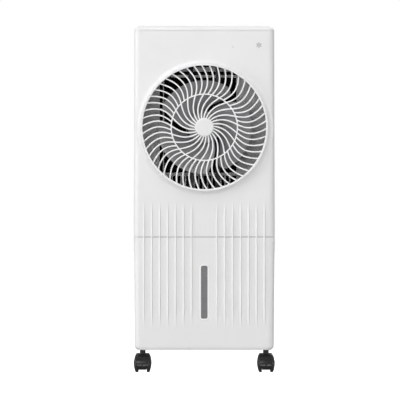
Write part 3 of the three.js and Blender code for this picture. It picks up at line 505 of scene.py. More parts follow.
def plan(half, inset, share=None, back=REAR):
    return front_line(half, inset, share) + back_line(half, inset, back)


def upper_levels():
    """Levels of the upper wall, with how far its outer edge is drawn in at each."""
    low, high, size = SEAM + GAP / 2, SHOULDER, 0.8
    rim = [(0, 2.6), (0.52, 2.5), (0.58, 0.6), (0.75, 0.2), (1, 0)]
    return ([(low + size * t, size * k) for t, k in rim] + [(z, 0) for z in steps(*FLUTE_TOP, 14)]
        + [(high - size * t, size * k) for t, k in reversed(rim)])


def upper_wall(side):
    """The wall over the seam, -1 in front of the split and 1 behind it."""
    edge, rings = SPLIT + side * GAP / 2, []
    for z, inset in upper_levels():
        half = half_width(z)
        outside = front_line(half, inset, flute_share(z)) if side < 0 else back_line(half, inset)
        inside = front_line(half, WALL) if side < 0 else back_line(half, WALL)
        out, deep, bend = side * (half - inset), side * (half - WALL), edge + side * 0.5
        outer = [(out - side * 0.4, edge), (out, bend), *outside, (-out, bend), (side * 0.4 - out, edge)]
        rings.append(lift([*outer, (-deep, edge), *inside[::-1], (deep, edge)], z, "z"))
    return skin(rings)


def front_shell():
    through = (FRONT - 5, FRONT + 10)
    hole = rod("y", RIM_RADIUS + 2, through, (0, 0, FAN_Z), sides=160)
    lights = [rod("y", r + 0.08, through, (x, 0, z), sides=48) for x, z, r in (INDICATOR, RECEIVER)]
    return join(carve(upper_wall(-1), hole, *lights), collar())


def collar():
    """The flare round the fan guard, the ledge that carries the guard, and the duct behind."""
    inner, outside = RIM_RADIUS + GAP, FLARE_RADIUS + 1.5
    drop = FRONT + 0.05 - CREST
    flare = [(lerp(inner + 0.6, FLARE_RADIUS, s), FRONT + 0.05 - drop * (1 - s) ** 2.2)
        for s in steps(1, 0, 16)]
    crest = [(inner + 0.2, CREST + 0.12), (inner, CREST + 0.4)]
    ledge = off(RIB_REAR, [(inner, 3), (OPENING_RADIUS, 3), (OPENING_RADIUS, 6), (inner, 6)])
    duct = [(inner, DUCT_REAR), (inner + WALL, DUCT_REAR), (inner + WALL, FRONT + WALL / 2)]
    profile = [(outside, FRONT + WALL / 2), (outside, FRONT + 0.4), *flare, *crest, *ledge, *duct]
    return turned(profile, "y", (0, 0, FAN_Z), 192)


INDICATOR = (117.0, 701.3, 7.0)
RECEIVER = (61.3, 697.6, 2.5)
GRIP_Y = (-45.0, 45.0)
GRIP_Z = (655.0, 690.0)
WINDOW_HALF = 118.5
WINDOW_Z = (399.5, 706.5)
LATCH_Z = 303.0
GLAND = (112.0, 335.0)
SCREWS = [(s * 137.0, z) for s in (-1, 1) for z in (303.0, 430.0, 570.0, 716.0)]


def rear_shell():
    rim = off(REAR, [(0, -10), (0, -1.2), (-1.2, 0), (-1.4, 5)])
    window = slab(around(0, WINDOW_HALF), WINDOW_Z, 3.0, rim)
    side = half_width(GRIP_Z[0])
    ends = [(-1.5, 5), (-1.5, 0), (0, -1.6)]
    grips = slab(GRIP_Y, GRIP_Z, 5.0, [(inset, -side - a) for inset, a in ends] + off(side, ends[::-1]), "x")
    holes = [rod("y", r, around(REAR, 10), (x, 0, z)) for r, x, z in ((3.3, 0, LATCH_Z), (8.0, *GLAND))]
    return carve(upper_wall(1), window, grips, *holes)


def screw(x, z, y):
    """A pan-head screw with a crossed slot, its head on the plane y and facing +Y."""
    rows = [(0, -4), (1.6, -4), (1.6, -0.2), (3.4, -0.2), (3.4, 0.5), (2.9, 1.1), (1.6, 1.4), (0, 1.5)]
    head = turned(off(y, rows), "y", (x, 0, z), 32)
    slots = [block(around(x, a), (y + 0.4, y + 3), around(z, b)) for a, b in ((1.9, 0.35), (0.35, 1.9))]
    return carve(head, *slots)


def grip_cup(side):
    """A hand grip sunk into one side, open towards the outside."""
    face = half_width(GRIP_Z[0]) - 1.5
    y, z = ((a + GAP, b - GAP) for a, b in (GRIP_Y, GRIP_Z))
    rows = [(3.0, 24.0), (0.9, 23.3), (0, 21.5), (0, 0.5), (0.3, 0), (1.4, 0), (1.9, 0.5), (2.2, 19.5),
        (2.9, 21.3), (5.0, 22.0)]
    return slab(y, z, 4.7, [(inset, side * (face - depth)) for inset, depth in rows], "x")


def top_cover():
    bevel = [(TOP_BEVEL * (1 - (1 - t ** BEVEL_POWER) ** (1 / BEVEL_POWER)), lerp(SHOULDER + GAP, TOP, t))
        for t in steps(0, 1, 14)]
    rim = WALL + GAP
    skirt = [(rim + WALL, -8), (rim + 0.4, -8), (rim, -7.6), (rim, GAP), (0.25, GAP), (0.05, GAP + 0.25)]
    rows = [(rim + WALL, TOP - WALL), *off(SHOULDER, skirt)]
    rings = [lift(plan(HALF_TOP, inset), z, "z") for inset, z in rows + bevel[1:]]
    edge = off(TOP, [(0, -20), (0, -0.5), (-0.5, 0), (-0.7, 5)])
    hole = slab(around(0, PANEL_HALF), PANEL_Y, 4.0, edge, "z")
    return carve(skin(rings), hole)


def base_levels():
    """Levels of the base, with how far its sides and its front are drawn in at each."""
    inwards, up = BOTTOM_ROUND
    levels = []
    for t in (0, 0.04, 0.09, 0.15, 0.23, 0.32, 0.43, 0.56, 0.75, 1):
        round_in = inwards * (1 - t) ** 2.2
        levels.append((BOTTOM + up * t, round_in, round_in * FRONT_ROUND))
    levels += [(z, 0, 0) for z in steps(FLUTE_FOOT[1], FLUTE_FOOT[0], 14)]
    top = SEAM - GAP / 2
    edge = ((0.8, 0), (0.6, 0.16), (0.46, 0.5), (0.42, 2.0), (0, 2.1))
    return levels + [(top - drop, k, k) for drop, k in edge]


def seam_shade_strip():
    """A grey strip in the seam groove, along the front and the sides; its grey is painted shade for the dark
    seam line.
    """
    def line(inset):
        side = HALF_SEAM - inset
        return [(-side, REAR - 22), *front_line(HALF_SEAM, inset), (side, REAR - 22)]
    outline = line(1.5) + line(1.95)[::-1]
    return skin([lift(outline, z, "z") for z in (SEAM - 0.52, SEAM + 0.52)], caps="ladder")


LEVEL_HALF = 7.1
LEVEL_Z = (114.7, 228.5)
SILL_Z = 62.0
RAIL_TOP = 76.7
LEDGE_FOOT = 280.0
BOSS_TOP = 73.0
SOCKET_TOP = 69.0
CASTERS = {f"{end}_{side}": (x, y) for end, y in (("front", -100.0), ("rear", 100.0))
    for side, x in (("left", -132.4), ("right", 132.4))}


def base_ring(level, wall=0.0, lift_by=0.0, fluted=False):
    """The base's outline at one of its levels, drawn in by a wall and lifted."""
    z, side, front = level
    share = flute_share(z) if fluted else None
    return lift(plan(half_width(z) - side + front, front + wall, share), z + lift_by, "z")


def base_shell():
    levels = base_levels()
    outer = skin([base_ring(level, fluted=True) for level in levels])
    low = [level for level in levels if level[0] < BOTTOM + 16] + [(SEAM - 1, 0, 0)]
    inner = skin([base_ring(level, WALL, WALL) for level in low])
    bay = skin([lift(plan(half_width(z), WALL, back=REAR + 20), z, "z") for z in (SILL_Z, SEAM + 2)])
    rim = off(FRONT, [(-2.3, -3), (-2.3, 0), (-1.9, 0.1), (-0.4, 1.0), (0, 1.3), (0, 10)])
    window = slab(around(0, LEVEL_HALF), LEVEL_Z, 4.0, rim, count=8)
    rails = [block(around(x, 2), (FRONT + EDGE_RADIUS, REAR - 10.3), (BOTTOM + 2, RAIL_TOP))
        for x in (-90, 90)]
    ledges = [block(around(x, 4), (FRONT + 2, REAR - 12), (LEDGE_FOOT, SEAM - GAP / 2)) for x in (-145, 145)]
    bosses = [rod("z", 9.5, (BOTTOM + 1, BOSS_TOP), (x, y, 0), 0.5, 48) for x, y in CASTERS.values()]
    sockets = [rod("z", 6, (BOTTOM - 5, SOCKET_TOP), (x, y, 0), sides=48) for x, y in CASTERS.values()]
    shell = carve(outer, inner, bay, window)
    return carve(join(shell, *rails, *ledges, *bosses), *sockets)


def lens(x, z, r):
    """A round lens flush with the front, with a step behind the wall."""
    behind = WALL + GAP
    profile = off(FRONT, [(0, 0.02), (r - 0.25, 0.02), (r, 0.2), (r, behind), (r + 1.5, behind),
        (r + 1.5, WALL + 1.5), (0, WALL + 1.5)])
    return turned(profile, "y", (x, 0, z), 64)


def level_window():
    z0, z1 = LEVEL_Z
    rows = off(FRONT, [(1.4, 0.75), (0.6, 0.85), (0, 1.3), (0, WALL + 1)])
    face = slab(around(0, LEVEL_HALF - 0.12), (z0 + 0.12, z1 - 0.12), 3.88, rows, count=8)
    return join(face, slab((-10, 10), (z0 - 3, z1 + 3), 5, off(FRONT, [(0, WALL + GAP), (0, WALL + 2)])))


def sight_rim_highlight():
    """A thin lip pressed into the edge of the slot round the level window, in a brighter white that is a
    painted highlight.
    """
    section = off(FRONT, [(0.25, 1.6), (0.1, 0.2), (-0.2, -0.3), (-0.7, -0.5), (-2.3, -0.45), (-3.2, -0.1),
        (-3.3, 0.3), (-0.4, 1.6)])
    rings = [lift(rounded(around(0, LEVEL_HALF), LEVEL_Z, 4.0, inset, 8), y, "y") for inset, y in section]
    return skin(rings, wrap=True)


def cord_gland():
    x, z = GLAND
    profile = off(REAR, [(4, -8), (7.6, -8), (7.6, GAP), (10, GAP), (10, 1.2), (9, 2.1), (6, 2.5), (4.6, 2.5),
        (4, 1.8)])
    return turned(eased(profile, 0.3, 2, True), "y", (x, 0, z), 48)


# ---------------------------------------------------------------- marks

def ribbon(points, width, plane, low, high):
    """A flat printed stroke through 2-D points, between two depths."""
    sides = []
    for i, (u, v) in enumerate(points):
        (a, b), (c, d) = points[max(i - 1, 0)], points[min(i + 1, len(points) - 1)]
        length = math.hypot(c - a, d - b)
        du, dv = (b - d) / length * width / 2, (c - a) / length * width / 2
        sides.append(((u + du, v + dv), (u - du, v - dv)))
    outline = [a for a, _ in sides] + [b for _, b in reversed(sides)]
    caps = "ladder" if len(points) > 2 else "flat"
    return skin([lift(outline, level, plane) for level in (low, high)], caps=caps)


def snowflake(x, z, reach, width, low, high):
    """Six arms with a pair of barbs each."""
    strokes = []
    for k in range(6):
        a = math.radians(90 + 60 * k)
        at = lambda r, turn=0.0, more=0.0: (x + r * math.cos(a) + more * math.cos(a + turn),
            z + r * math.sin(a) + more * math.sin(a + turn))
        strokes.append(ribbon([at(reach * 0.12), at(reach)], width, "y", low, high))
        for turn in (-0.9, 0.9):
            barb = [at(reach * 0.56), at(reach * 0.56, turn, reach * 0.36)]
            strokes.append(ribbon(barb, width * 0.85, "y", low + 0.001 * k, high))
    return heap(strokes)


def icon(kind, x, y, low, high):
    """A generic button mark about 8 mm across."""
    stroke = lambda points, width=0.7: ribbon([(x + u, y + v) for u, v in points], width, "z", low, high)
    if kind == "power":
        return heap([stroke(arc(0, 0, 3.4, 125, 415, 24)), stroke([(0, 0.6), (0, 4.2)])])
    if kind == "timer":
        hands = [(0, -0.2), (0, 2.4)], [(0.35, 0), (2.0, 0)]
        return heap([stroke(arc(0, 0, 3.6, 90, 449, 32)), *map(stroke, hands)])
    if kind == "cool":
        return stroke([(0, 4.2)] + arc(0, -0.8, 2.7, 28, -208, 24) + [(0, 4.2)])
    petal = [(0.9, 0.0), (2.4, -0.25), (3.7, 0.05), (4.0, 0.55), (3.2, 0.95), (2.0, 0.8), (0.9, 0.0)]
    turns = [math.radians(120 * k) for k in range(3)]
    return heap([stroke([(r * math.cos(a + t), r * math.sin(a + t)) for r, a in petal], 0.6) for t in turns])


# ---------------------------------------------------------------- controls

PANEL_HALF = 85.0
PANEL_Y = (-112.0, -58.0)
PANEL_TOP = TOP - 0.5
PANEL_MID = sum(PANEL_Y) / 2
BUTTONS = {"power": -66.0, "speed": -38.0, "cool": 38.0, "timer": 66.0}
BUTTON_RADIUS = 8.0
DISPLAY = (20.0, 8.0)
BOARD_Z = (726.4, 728.0)


def control_panel():
    y0, y1 = PANEL_Y[0] + GAP, PANEL_Y[1] - GAP
    half = PANEL_HALF - GAP
    rows = off(PANEL_TOP, [(0, -5), (0, -0.6), (0.18, -0.18), (0.6, 0)])
    face = slab(around(0, half), (y0, y1), 3.7, rows, "z", 8)
    flange = slab(around(0, half + 3), (y0 - 3, y1 + 3), 5, off(PANEL_TOP, [(0, -5), (0, -3)]), "z")
    low, high, r = TOP - 34, TOP + 26, BUTTON_RADIUS
    well = [(0, low), (r + 0.2, low), (r + 0.2, PANEL_TOP - 0.4), (r + 0.7, PANEL_TOP + 0.1), (r + 0.7, high),
        (0, high)]
    holes = [turned(well, "z", (x, PANEL_MID, 0), 64) for x in BUTTONS.values()]
    w, d = DISPLAY
    window = slab(around(0, w + 0.15), around(PANEL_MID, d + 0.15), 1.5, [(0, low), (0, high)], "z")
    return carve(join(face, flange), *holes, window)


def button(x):
    dish = [(r, -0.1 - 0.35 * (1 - (r / 6.6) ** 2)) for r in steps(0, 6.6, 8)]
    profile = dish + [(7.3, -0.1), (7.75, -0.3), (8, -0.8), (8, -5.8), (9.5, -5.8), (9.5, -8.6), (2.5, -8.6),
        (2.5, -12), (0, -12)]
    return turned(off(PANEL_TOP, profile), "z", (x, PANEL_MID, 0), 64)


def display():
    """The display's smoked lens, with a step round it behind the panel."""
    w, d = DISPLAY
    rows = off(PANEL_TOP, [(0, -6), (0, -0.7), (0.3, -0.4)])
    face = slab(around(0, w), around(PANEL_MID, d), 1.4, rows, "z")
    step = off(PANEL_TOP, [(0, -7), (0, -5 - GAP)])
    return join(face, slab(around(0, w + 3), around(PANEL_MID, d + 3), 1, step, "z"))


def board():
    """The circuit board, with a switch under each button."""
    low, high = BOARD_Z
    switches = [rod("z", 2.8, (high - 1, high + 0.6), (x, PANEL_MID, 0), 0.3, 24) for x in BUTTONS.values()]
    return join(block((-98, 98), (-110, -60), (low, high)), *switches)


def digits():
    """Two unlit figures behind the display's smoked face."""
    bars = [(0, v, 2.0, 0.45) for v in (-5.0, 0.0, 5.0)]
    bars += [(u, v, 0.45, 1.9) for u in (-2.7, 2.7) for v in (-2.5, 2.5)]
    level = (PANEL_TOP - 0.42, PANEL_TOP - 0.36)
    return heap([block(around(x + u, a), around(PANEL_MID + v, b), level)
        for x in (-6.0, 3.0) for u, v, a, b in bars])


def lamps():
    """Small lamps beside the display that show which setting is on."""
    profile = off(PANEL_TOP, [(0, -1), (0.9, -1), (0.9, -0.02), (0, 0.1)])
    places = (-66, -44, -38, -32, 38, 60, 66, 72)
    return heap([turned(profile, "z", (x, PANEL_MID + 12.5, 0), 24) for x in places])


# ---------------------------------------------------------------- fan and guard

def polar(radius, degrees, y=0.0):
    return Vector((radius * math.cos(math.radians(degrees)), y, radius * math.sin(math.radians(degrees))))


def bezier(a, b, c, d, t):
    s = 1 - t
    return a * s ** 3 + b * (3 * s * s * t) + c * (3 * s * t * t) + d * t ** 3


def rib_line():
    corners = [polar(CAP_RADIUS - 3, 8), polar(74.5, -0.9), polar(82.3, -49.2),
        polar(OPENING_RADIUS + 1.2, -22.6)]
    return [bezier(*corners, t) for t in steps(0, 1, 34)]


def rib(line):
    """One bar of the guard: rounded towards the front, narrower towards the fan."""
    half = RIB_WIDTH / 2
    crown = [(1, 0.75), (0.96, 0.36), (0.78, 0.1), (0.4, 0), (-0.4, 0), (-0.78, 0.1), (-0.96, 0.36),
        (-1, 0.75)]
    front = [(half * u, RIB_FRONT + drop) for u, drop in crown]
    section = front + [(-half * 0.72, RIB_REAR), (half * 0.72, RIB_REAR)]
    rings = []
    for i, p in enumerate(line):
        along = (line[min(i + 1, len(line) - 1)] - line[max(i - 1, 0)]).normalized()
        across = Vector((along.z, 0, -along.x))
        rings.append([Vector((p.x, y, p.z)) + across * u for u, y in section])
    return skin(rings)


def front_guard():
    deep, shelf = RIB_REAR + 2.5, OPENING_RADIUS
    inside = off(CREST, [(shelf, 1.0), (shelf + 0.2, 0.3), (shelf + 0.7, 0)])
    outside = off(CREST, [(RIM_RADIUS - 0.4, 0), (RIM_RADIUS, 0.1), (RIM_RADIUS + 0.22, 0.4)])
    rim = turned([*inside, *outside, (RIM_RADIUS + 0.22, deep), (shelf, deep)], sides=192)
    middle = [(RING_RADIUS + u, y) for u, y in ((-1.4, RIB_FRONT + 0.1), (1.4, RIB_FRONT + 0.1),
        (1.1, RIB_REAR - 0.2), (-1.1, RIB_REAR - 0.2))]
    ring = turned(eased(middle, 0.6, 3, True), sides=160)
    low, high = RIB_FRONT + 0.2, RIB_REAR - 0.2
    hub = turned([(6, low), (CAP_RADIUS - 1, low), (CAP_RADIUS - 1, high), (6, high)], sides=96)
    line = rib_line()
    outer = [p for p in line if p.length > RING_RADIUS - 0.4]
    pitch = 360 / LONG_RIBS
    bars = [spun(rib(line), i * pitch) for i in range(LONG_RIBS)]
    bars += [spun(rib(outer), (i + 0.5) * pitch) for i in range(LONG_RIBS)]
    return shifted(join(rim, ring, hub, *bars), dz=FAN_Z)


def guard_cap():
    seat = RIB_FRONT - 0.2
    dome = [(r, -2.6 + 0.25 * (r / 17.5) ** 2) for r in steps(0, 17.5, 8)]
    dome += [(18.6, -2.1), (19.4, -1.6), (19.85, -1.0), (20, -0.5), (20, 0), (5.7, 0)]
    return turned(off(seat, dome) + [(5.7, RIB_REAR), (0, RIB_REAR)], "y", (0, 0, FAN_Z), 96)


def blade(start):
    """One broad blade: its pitch flattens and its edges sweep back towards the tip."""
    columns, rings = 30, []
    for out in steps(0, 1, 22):
        radius = lerp(HUB_RADIUS - 1.5, TIP_RADIUS, out)
        lead = start - 36 * out ** 0.8
        span = lerp(98, 112, math.sin(out * math.pi * 0.75)) - 14 * out ** 6
        rise = lerp(34, 24, out)
        front, back = [], []
        for turn in steps(0, 1, columns):
            y = FAN_FRONT + 4 + rise * turn - 4 * math.sin(math.pi * turn) * out
            thick = 2.2 * max((4 * turn * (1 - turn)) ** 0.35, 0.12) * (1 if out < 0.97 else 0.6)
            front.append(polar(radius, lead - span * turn, y + 1.1 - thick / 2))
            back.append(polar(radius, lead - span * turn, y + 1.1 + thick / 2))
        rings.append(front + back[::-1])
    return skin(rings, caps="ladder")


def fan():
    bowl = off(FAN_FRONT, [(4.3, 3), (10, 3), (11, 0), (13, 0), (13.6, 0.8), (14.4, 0.8), (15, 0), (29, 0),
        (32.6, 0.9), (34.5, 3), (35, 6)])
    bowl += [(35, FAN_REAR), (32.5, FAN_REAR), (32.5, FAN_FRONT + 6), (10, FAN_FRONT + 6)]
    bowl += off(FAN_REAR, [(9, -4), (4.3, -4)])
    vanes = [blade(FAN_PHASE - 8 - 120 * i) for i in range(3)]
    return shifted(join(turned(bowl, sides=96), *vanes), dz=FAN_Z)


def fan_nut():
    """A left-handed knob with finger flutes."""
    rows = ((2, -6, 0), (5.6, -5.6, 0.1), (7.4, -4.4, 0.5), (8.1, -2.6, 1), (8.1, 1.6, 1), (7.7, 2.7, 1))
    groove = lambda a: 0.35 + 0.35 * math.cos(math.radians(8 * a))
    rings = [[polar(r - depth * groove(a), a, FAN_FRONT + y) for a in range(0, 360, 5)]
        for r, y, depth in rows]
    bore = rod("y", 4.3, (FAN_FRONT - 1.7, FAN_FRONT + 5))
    return shifted(carve(skin(rings), bore), dz=FAN_Z)


def motor():
    """A closed motor: ribbed end bells and a stack of laminations between them."""
    bell = [(4.2, 0), (11, 0), (11, 6), (14, 6.6), (34, 9), (38.5, 11.5), (40, 15)]
    fins = [row for k in range(6) for row in off(17 + 3.2 * k, [(40, 0), (38.8, 0.4), (38.8, 1.6), (40, 2)])]
    tail = off(MOTOR_REAR, [(40, -10), (38.5, -6.2), (35, -4), (12, 0), (0, 0), (0, -7), (4.2, -7)])
    vent = slab((16, 30), (-1.6, 1.6), 1.5, off(MOTOR_FRONT, [(0, 3), (0, 11)]))
    vents = [spun(vent, 45 * k + 10) for k in range(8)]
    return shifted(carve(turned(off(MOTOR_FRONT, bell + fins) + tail, sides=96), *vents), dz=FAN_Z)


# ---------------------------------------------------------------- cooling side

PAD_X = (-96.0, 69.0)
PAD_Z = (385.0, 664.0)
BULKHEAD_Y = (60.0, 63.0)
PAD_FRAME_Y = (63.3, 105.0)
SHEETS_Y = (66.2, 98.0)
SHADE_SHEET_Y = (98.4, 100.8)
DECK_TOP = 294.5
RAILS_Z = ((421.3, 428.2), (633.2, 638.6), (645.7, 655.4))
BARS_X = steps(-88.0, 54.5, 15)


def bulkhead():
    """The wall between fan and pad, with rails and upright bars across the pad window."""
    front, rear = BULKHEAD_Y
    sheet = slab((-145, 145), (DECK_TOP + GAP, SHOULDER - 9), 3, [(0, front), (0, rear)])
    rails = [block((PAD_X[0] - 4, PAD_X[1] + 33), (front - 4, rear), z) for z in RAILS_Z]
    bars = [block(around(x, 1.5), BULKHEAD_Y, (PAD_Z[0] - 1, RAILS_Z[0][0] + 1 if i else PAD_Z[1] + 1))
        for i, x in enumerate(BARS_X)]
    return join(carve(sheet, slab(PAD_X, PAD_Z, 2, [(0, 0), (0, 100)])), *rails, *bars)


def pad_frame():
    (x0, x1), (z0, z1), wall = (PAD_X[0] - 6, PAD_X[1] + 6), (PAD_Z[0] - 6, PAD_Z[1] + 6), 4
    low, high = PAD_FRAME_Y
    outer = slab((x0, x1), (z0, z1), 2, [(0, low), (0, high)])
    inner = slab((x0 + wall, x1 - wall), (z0 + wall, z1 - wall), 1, [(0, 0), (0, 200)])
    middle = (x0 + x1) / 2
    bars = [block(around(middle + x, 3), (high - 3, high), (z0 + 2, z1 - 2)) for x in (-45, 0, 45)]
    slot = block((x0 + 16, x1 - 16), (78, 90), (z1 - 6, z1 + 14))
    return carve(join(carve(outer, inner), *bars), slot)


def cooling_pad():
    """Corrugated cellulose sheets side by side, their waves leaning one way and the other in turn, with a
    dark sheet behind them as painted shade.
    """
    reach, wave, thick = 1.6, 12.0, 0.9
    low, high = SHEETS_Y
    z0, z1 = PAD_Z[0] - reach, PAD_Z[1] + reach
    sheets = []
    for i, x in enumerate(steps(PAD_X[0] + 2.2, PAD_X[1] - 2.2, 26)):
        lean = 1 if i % 2 else -1
        rings = []
        for z in steps(z0, z1, 110):
            line = [(x + 2.9 * math.sin((z + lean * y) / wave * 2 * math.pi), y) for y in steps(low, high, 7)]
            rings.append([(u - thick / 2, y, z) for u, y in line]
                + [(u + thick / 2, y, z) for u, y in reversed(line)])
        sheets.append(skin(rings, caps="ladder"))
    # A dark sheet behind the pad: painted shade, which also keeps the light from the back out of the pad.
    shade_sheet = block((PAD_X[0] - reach, PAD_X[1] + reach), SHADE_SHEET_Y, (z0, z1))
    return heap([*sheets, shade_sheet])


TROUGH_Z = (PAD_Z[1] + 6 + GAP, PAD_Z[1] + 34)


def trough():
    x, y = (PAD_X[0] - 6, PAD_X[1] + 6), (PAD_FRAME_Y[0], PAD_FRAME_Y[1] - 1)
    low, high = TROUGH_Z
    rows = [(0.8, low), (0, low + 0.8), (0, high - 0.4), (0.4, high), (2.1, high), (2.5, high - 0.4),
        (2.5, low + 3.2), (3.2, low + 2.5)]
    body = slab(x, y, 3, rows, "z")
    drips = [rod("z", 2.5, (low - 5, low + 5), (px, 84, 0), sides=24)
        for px in steps(x[0] + 20, x[1] - 20, 8)]
    return carve(body, *drips)


PUMP = (95.0, 100.0)
PUMP_Z = (84.0, 126.0)
OUTLET_TOP = 135.7
HOSE = [(95, 100, 136), (95, 100, 200), (95, 101, 300), (98, 103, 360), (108, 108, 410), (112, 110, 470),
    (112, 110, 610), (109, 104, 664), (98, 90, 684), (PAD_X[1] + 8, 86, 686)]


def smooth_line(points, per_span=8):
    """A centripetal spline through the points, as the CAD's hose follows."""
    points = [Vector(p) for p in points]
    ends = [points[0] * 2 - points[1], *points, points[-1] * 2 - points[-2]]
    line = []
    for a, b, c, d in zip(ends, ends[1:], ends[2:], ends[3:]):
        k1, k2, k3 = (max((q - p).length, 1e-6) ** 0.5 for p, q in ((a, b), (b, c), (c, d)))
        m1 = ((b - a) / k1 - (c - a) / (k1 + k2) + (c - b) / k2) * k2
        m2 = ((c - b) / k2 - (d - b) / (k2 + k3) + (d - c) / k3) * k2
        for t in steps(0, 1 - 1 / per_span, per_span - 1):
            line.append(b * (2 * t ** 3 - 3 * t * t + 1) + m1 * (t ** 3 - 2 * t * t + t)
                + c * (3 * t * t - 2 * t ** 3) + m2 * (t ** 3 - t * t))
    return line + [points[-1]]


def tube(line, radius, bore, sides=20):
    """A hollow tube along a line."""
    up, outer, inner = Vector((1, 0, 0)), [], []
    for i, p in enumerate(line):
        along = (line[min(i + 1, len(line) - 1)] - line[max(i - 1, 0)]).normalized()
        side = (up - along * up.dot(along)).normalized()
        up = side
        other = along.cross(side)
        ring = lambda r: [p + side * r * math.cos(a) + other * r * math.sin(a)
            for a in (2 * math.pi * k / sides for k in range(sides))]
        outer.append(ring(radius))
        inner.append(ring(bore))
    return skin(outer + inner[::-1], wrap=True)


def pump():
    x, y = PUMP
    low, high = PUMP_Z
    barbed = off(high, [(0, -2), (6, -2), (6, 2), (5.2, 3), (5.6, 5), (5, 6.5), (5.4, 8)])
    body = slab(around(x, 20), around(y, 16), 6, edged(low, high, 1.5), "z")
    outlet = turned(barbed + [(4.8, OUTLET_TOP), (0, OUTLET_TOP)], "z", (x, y, 0), 32)
    inlet = rod("y", 9, (y - 19, y - 10), (x, 0, low + 14), 0.8, 48)
    slots = [block(around(x + u, 0.7), (y - 25, y - 16.5), (low + 8, low + 20)) for u in steps(-6, 6, 4)]
    grooves = [carve(slab(around(x, 25), around(y, 20), 6, [(0, z), (0, z + 1.6)], "z"),
        slab(around(x, 19.2), around(y, 15.2), 5.2, [(0, z - 1), (0, z + 3)], "z"))
        for z in steps(low + 22, high - 8, 3)]
    return carve(join(body, outlet, inlet), *slots, *grooves)


def capacitor():
    return slab((82, 118), (BULKHEAD_Y[0] - 24, BULKHEAD_Y[0] - GAP), 4, edged(330, 352, 1.2), "z")


# ---------------------------------------------------------------- back

def rear_louvres():
    """The back cover: a frame, thirteen rain louvres with rounded noses, a middle post and a finger tab."""
    low, high = REAR - 8, REAR - 0.4
    half, (z0, z1) = WINDOW_HALF - 0.5, (WINDOW_Z[0] + 0.5, WINDOW_Z[1] - 0.5)
    outer = slab(around(0, half), (z0, z1), 2.6, [(0, low), *off(high, [(0, -0.6), (0.2, -0.2), (0.7, 0)])])
    hollow = [(0, 0), *off(high, [(0, -1.2), (-1.2, 0), (-2, 5)])]
    inner = slab(around(0, half - 10), (z0 + 10, z1 - 10), 4, hollow)
    nose = arc(-2.6, 0, 0.95, 90, 270, 6) + arc(2.6, 0, 0.95, -90, 90, 6)
    tilt = math.radians(-28)
    c, s = math.cos(tilt), math.sin(tilt)
    section = [(REAR - 4.4 + (u * c - v * s), u * s + v * c) for u, v in nose]
    slat = skin([lift(section, x, "x") for x in around(0, half - 9)])
    slats = [shifted(slat, dz=z) for z in steps(z0 + 10, z1 - 10, 14)[1:-1]]
    post = slab((-2, 2), (z0 + 9, z1 - 9), 0.3, edged(REAR - 6, REAR - 2, 0.6))
    grip = slab((-22, 22), (z1 - 8, z1 - 2.4), 2.6, [(0, high - 1.4), (0, high + 5)])
    return carve(join(carve(outer, inner), *slats, post), grip)


def dust_filter():
    """A framed net of crossed threads."""
    half, (z0, z1) = WINDOW_HALF - 6, (WINDOW_Z[0] + 7, WINDOW_Z[1] - 7)
    low, high = REAR - 11, REAR - 8 - GAP
    rim = carve(slab(around(0, half), (z0, z1), 3, edged(low, high, 0.4)),
        slab(around(0, half - 5), (z0 + 5, z1 - 5), 2, [(0, low - 5), (0, high + 5)]))
    middle = (low + high) / 2
    upright, level = (middle - 0.55, middle - 0.02), (middle + 0.02, middle + 0.55)
    x_places, z_places = steps(5 - half, half - 5, 70)[1:-1], steps(z0 + 5, z1 - 5, 94)[1:-1]
    threads = [block(around(x, 0.3), upright, (z0 + 4, z1 - 4)) for x in x_places]
    threads += [block(around(0, half - 4), level, around(z, 0.3)) for z in z_places]
    bars = [block(around(x, 1.2), around(middle, 0.9), (z0 + 4, z1 - 4)) for x in (-60, 0, 60)]
    return heap([rim, *threads, *bars])


def turn_catch():
    low, high = REAR + 0.4, REAR + 3
    outline = arc(0, 0, 10, 30, 330, 28) + arc(20, 0, 5, -90, 90, 10)
    drawn = lambda k: [(u * (1 - k / 18) + 0.4 * k, v * (1 - k / 9)) for u, v in outline]
    rows = ((0.3, low), (0, low + 0.3), (0, high - 0.8), (0.25, high - 0.2), (0.8, high))
    body = skin([lift(drawn(k), y, "y") for k, y in rows])
    return shifted(carve(body, rod("y", 3.4, (low - 5, high + 5))), dz=LATCH_Z)


def catch_pin():
    profile = off(REAR, [(0, -8), (3, -8), (3, 3.2), (6, 3.2), (6, 3.4), (5.6, 3.8), (4.4, 4), (0, 4)])
    slots = [block((-a, a), (REAR + 3.3, REAR + 6), (-b, b)) for a, b in ((3, 0.5), (0.5, 3))]
    return shifted(carve(turned(profile, sides=48), *slots), dz=LATCH_Z)


# ---------------------------------------------------------------- tank

TANK_HALF = 138.0
TANK_Y = (-124.0, 125.7)
TANK_Z = (77.0, 245.0)
PANEL_Z = (62.5, 289.2)
PULL_Z = (250.0, 283.0)
PULL_HALF = 52.0
DRAIN_Z = 92.0


def tank():
    """An open bin with eased edges, a drain hole in its back wall and stiffening ribs inside."""
    low, high = TANK_Z
    rows = [(4, low), (1.2, low + 0.8), (0.2, low + 3), (0, low + 6), (0, high - 0.5), (0.5, high),
        (2.5, high), (3, high - 0.5), (3, low + 8), (3.8, low + 5), (6, low + 3.4), (9, low + 3)]
    body = slab(around(0, TANK_HALF), TANK_Y, 10, rows, "z", 8)
    height = (low + 4, high - 12)
    ribs = [block(around(x, 1), (TANK_Y[0] + 2, TANK_Y[0] + 5), height) for x in (-80, 80)]
    ribs += [block(around(side * (TANK_HALF - 3.5), 1.5), around(y, 1), height)
        for y in (-60, 20) for side in (-1, 1)]
    return carve(join(body, *ribs), rod("y", 8, around(TANK_Y[1], 10), (0, 0, DRAIN_Z)))


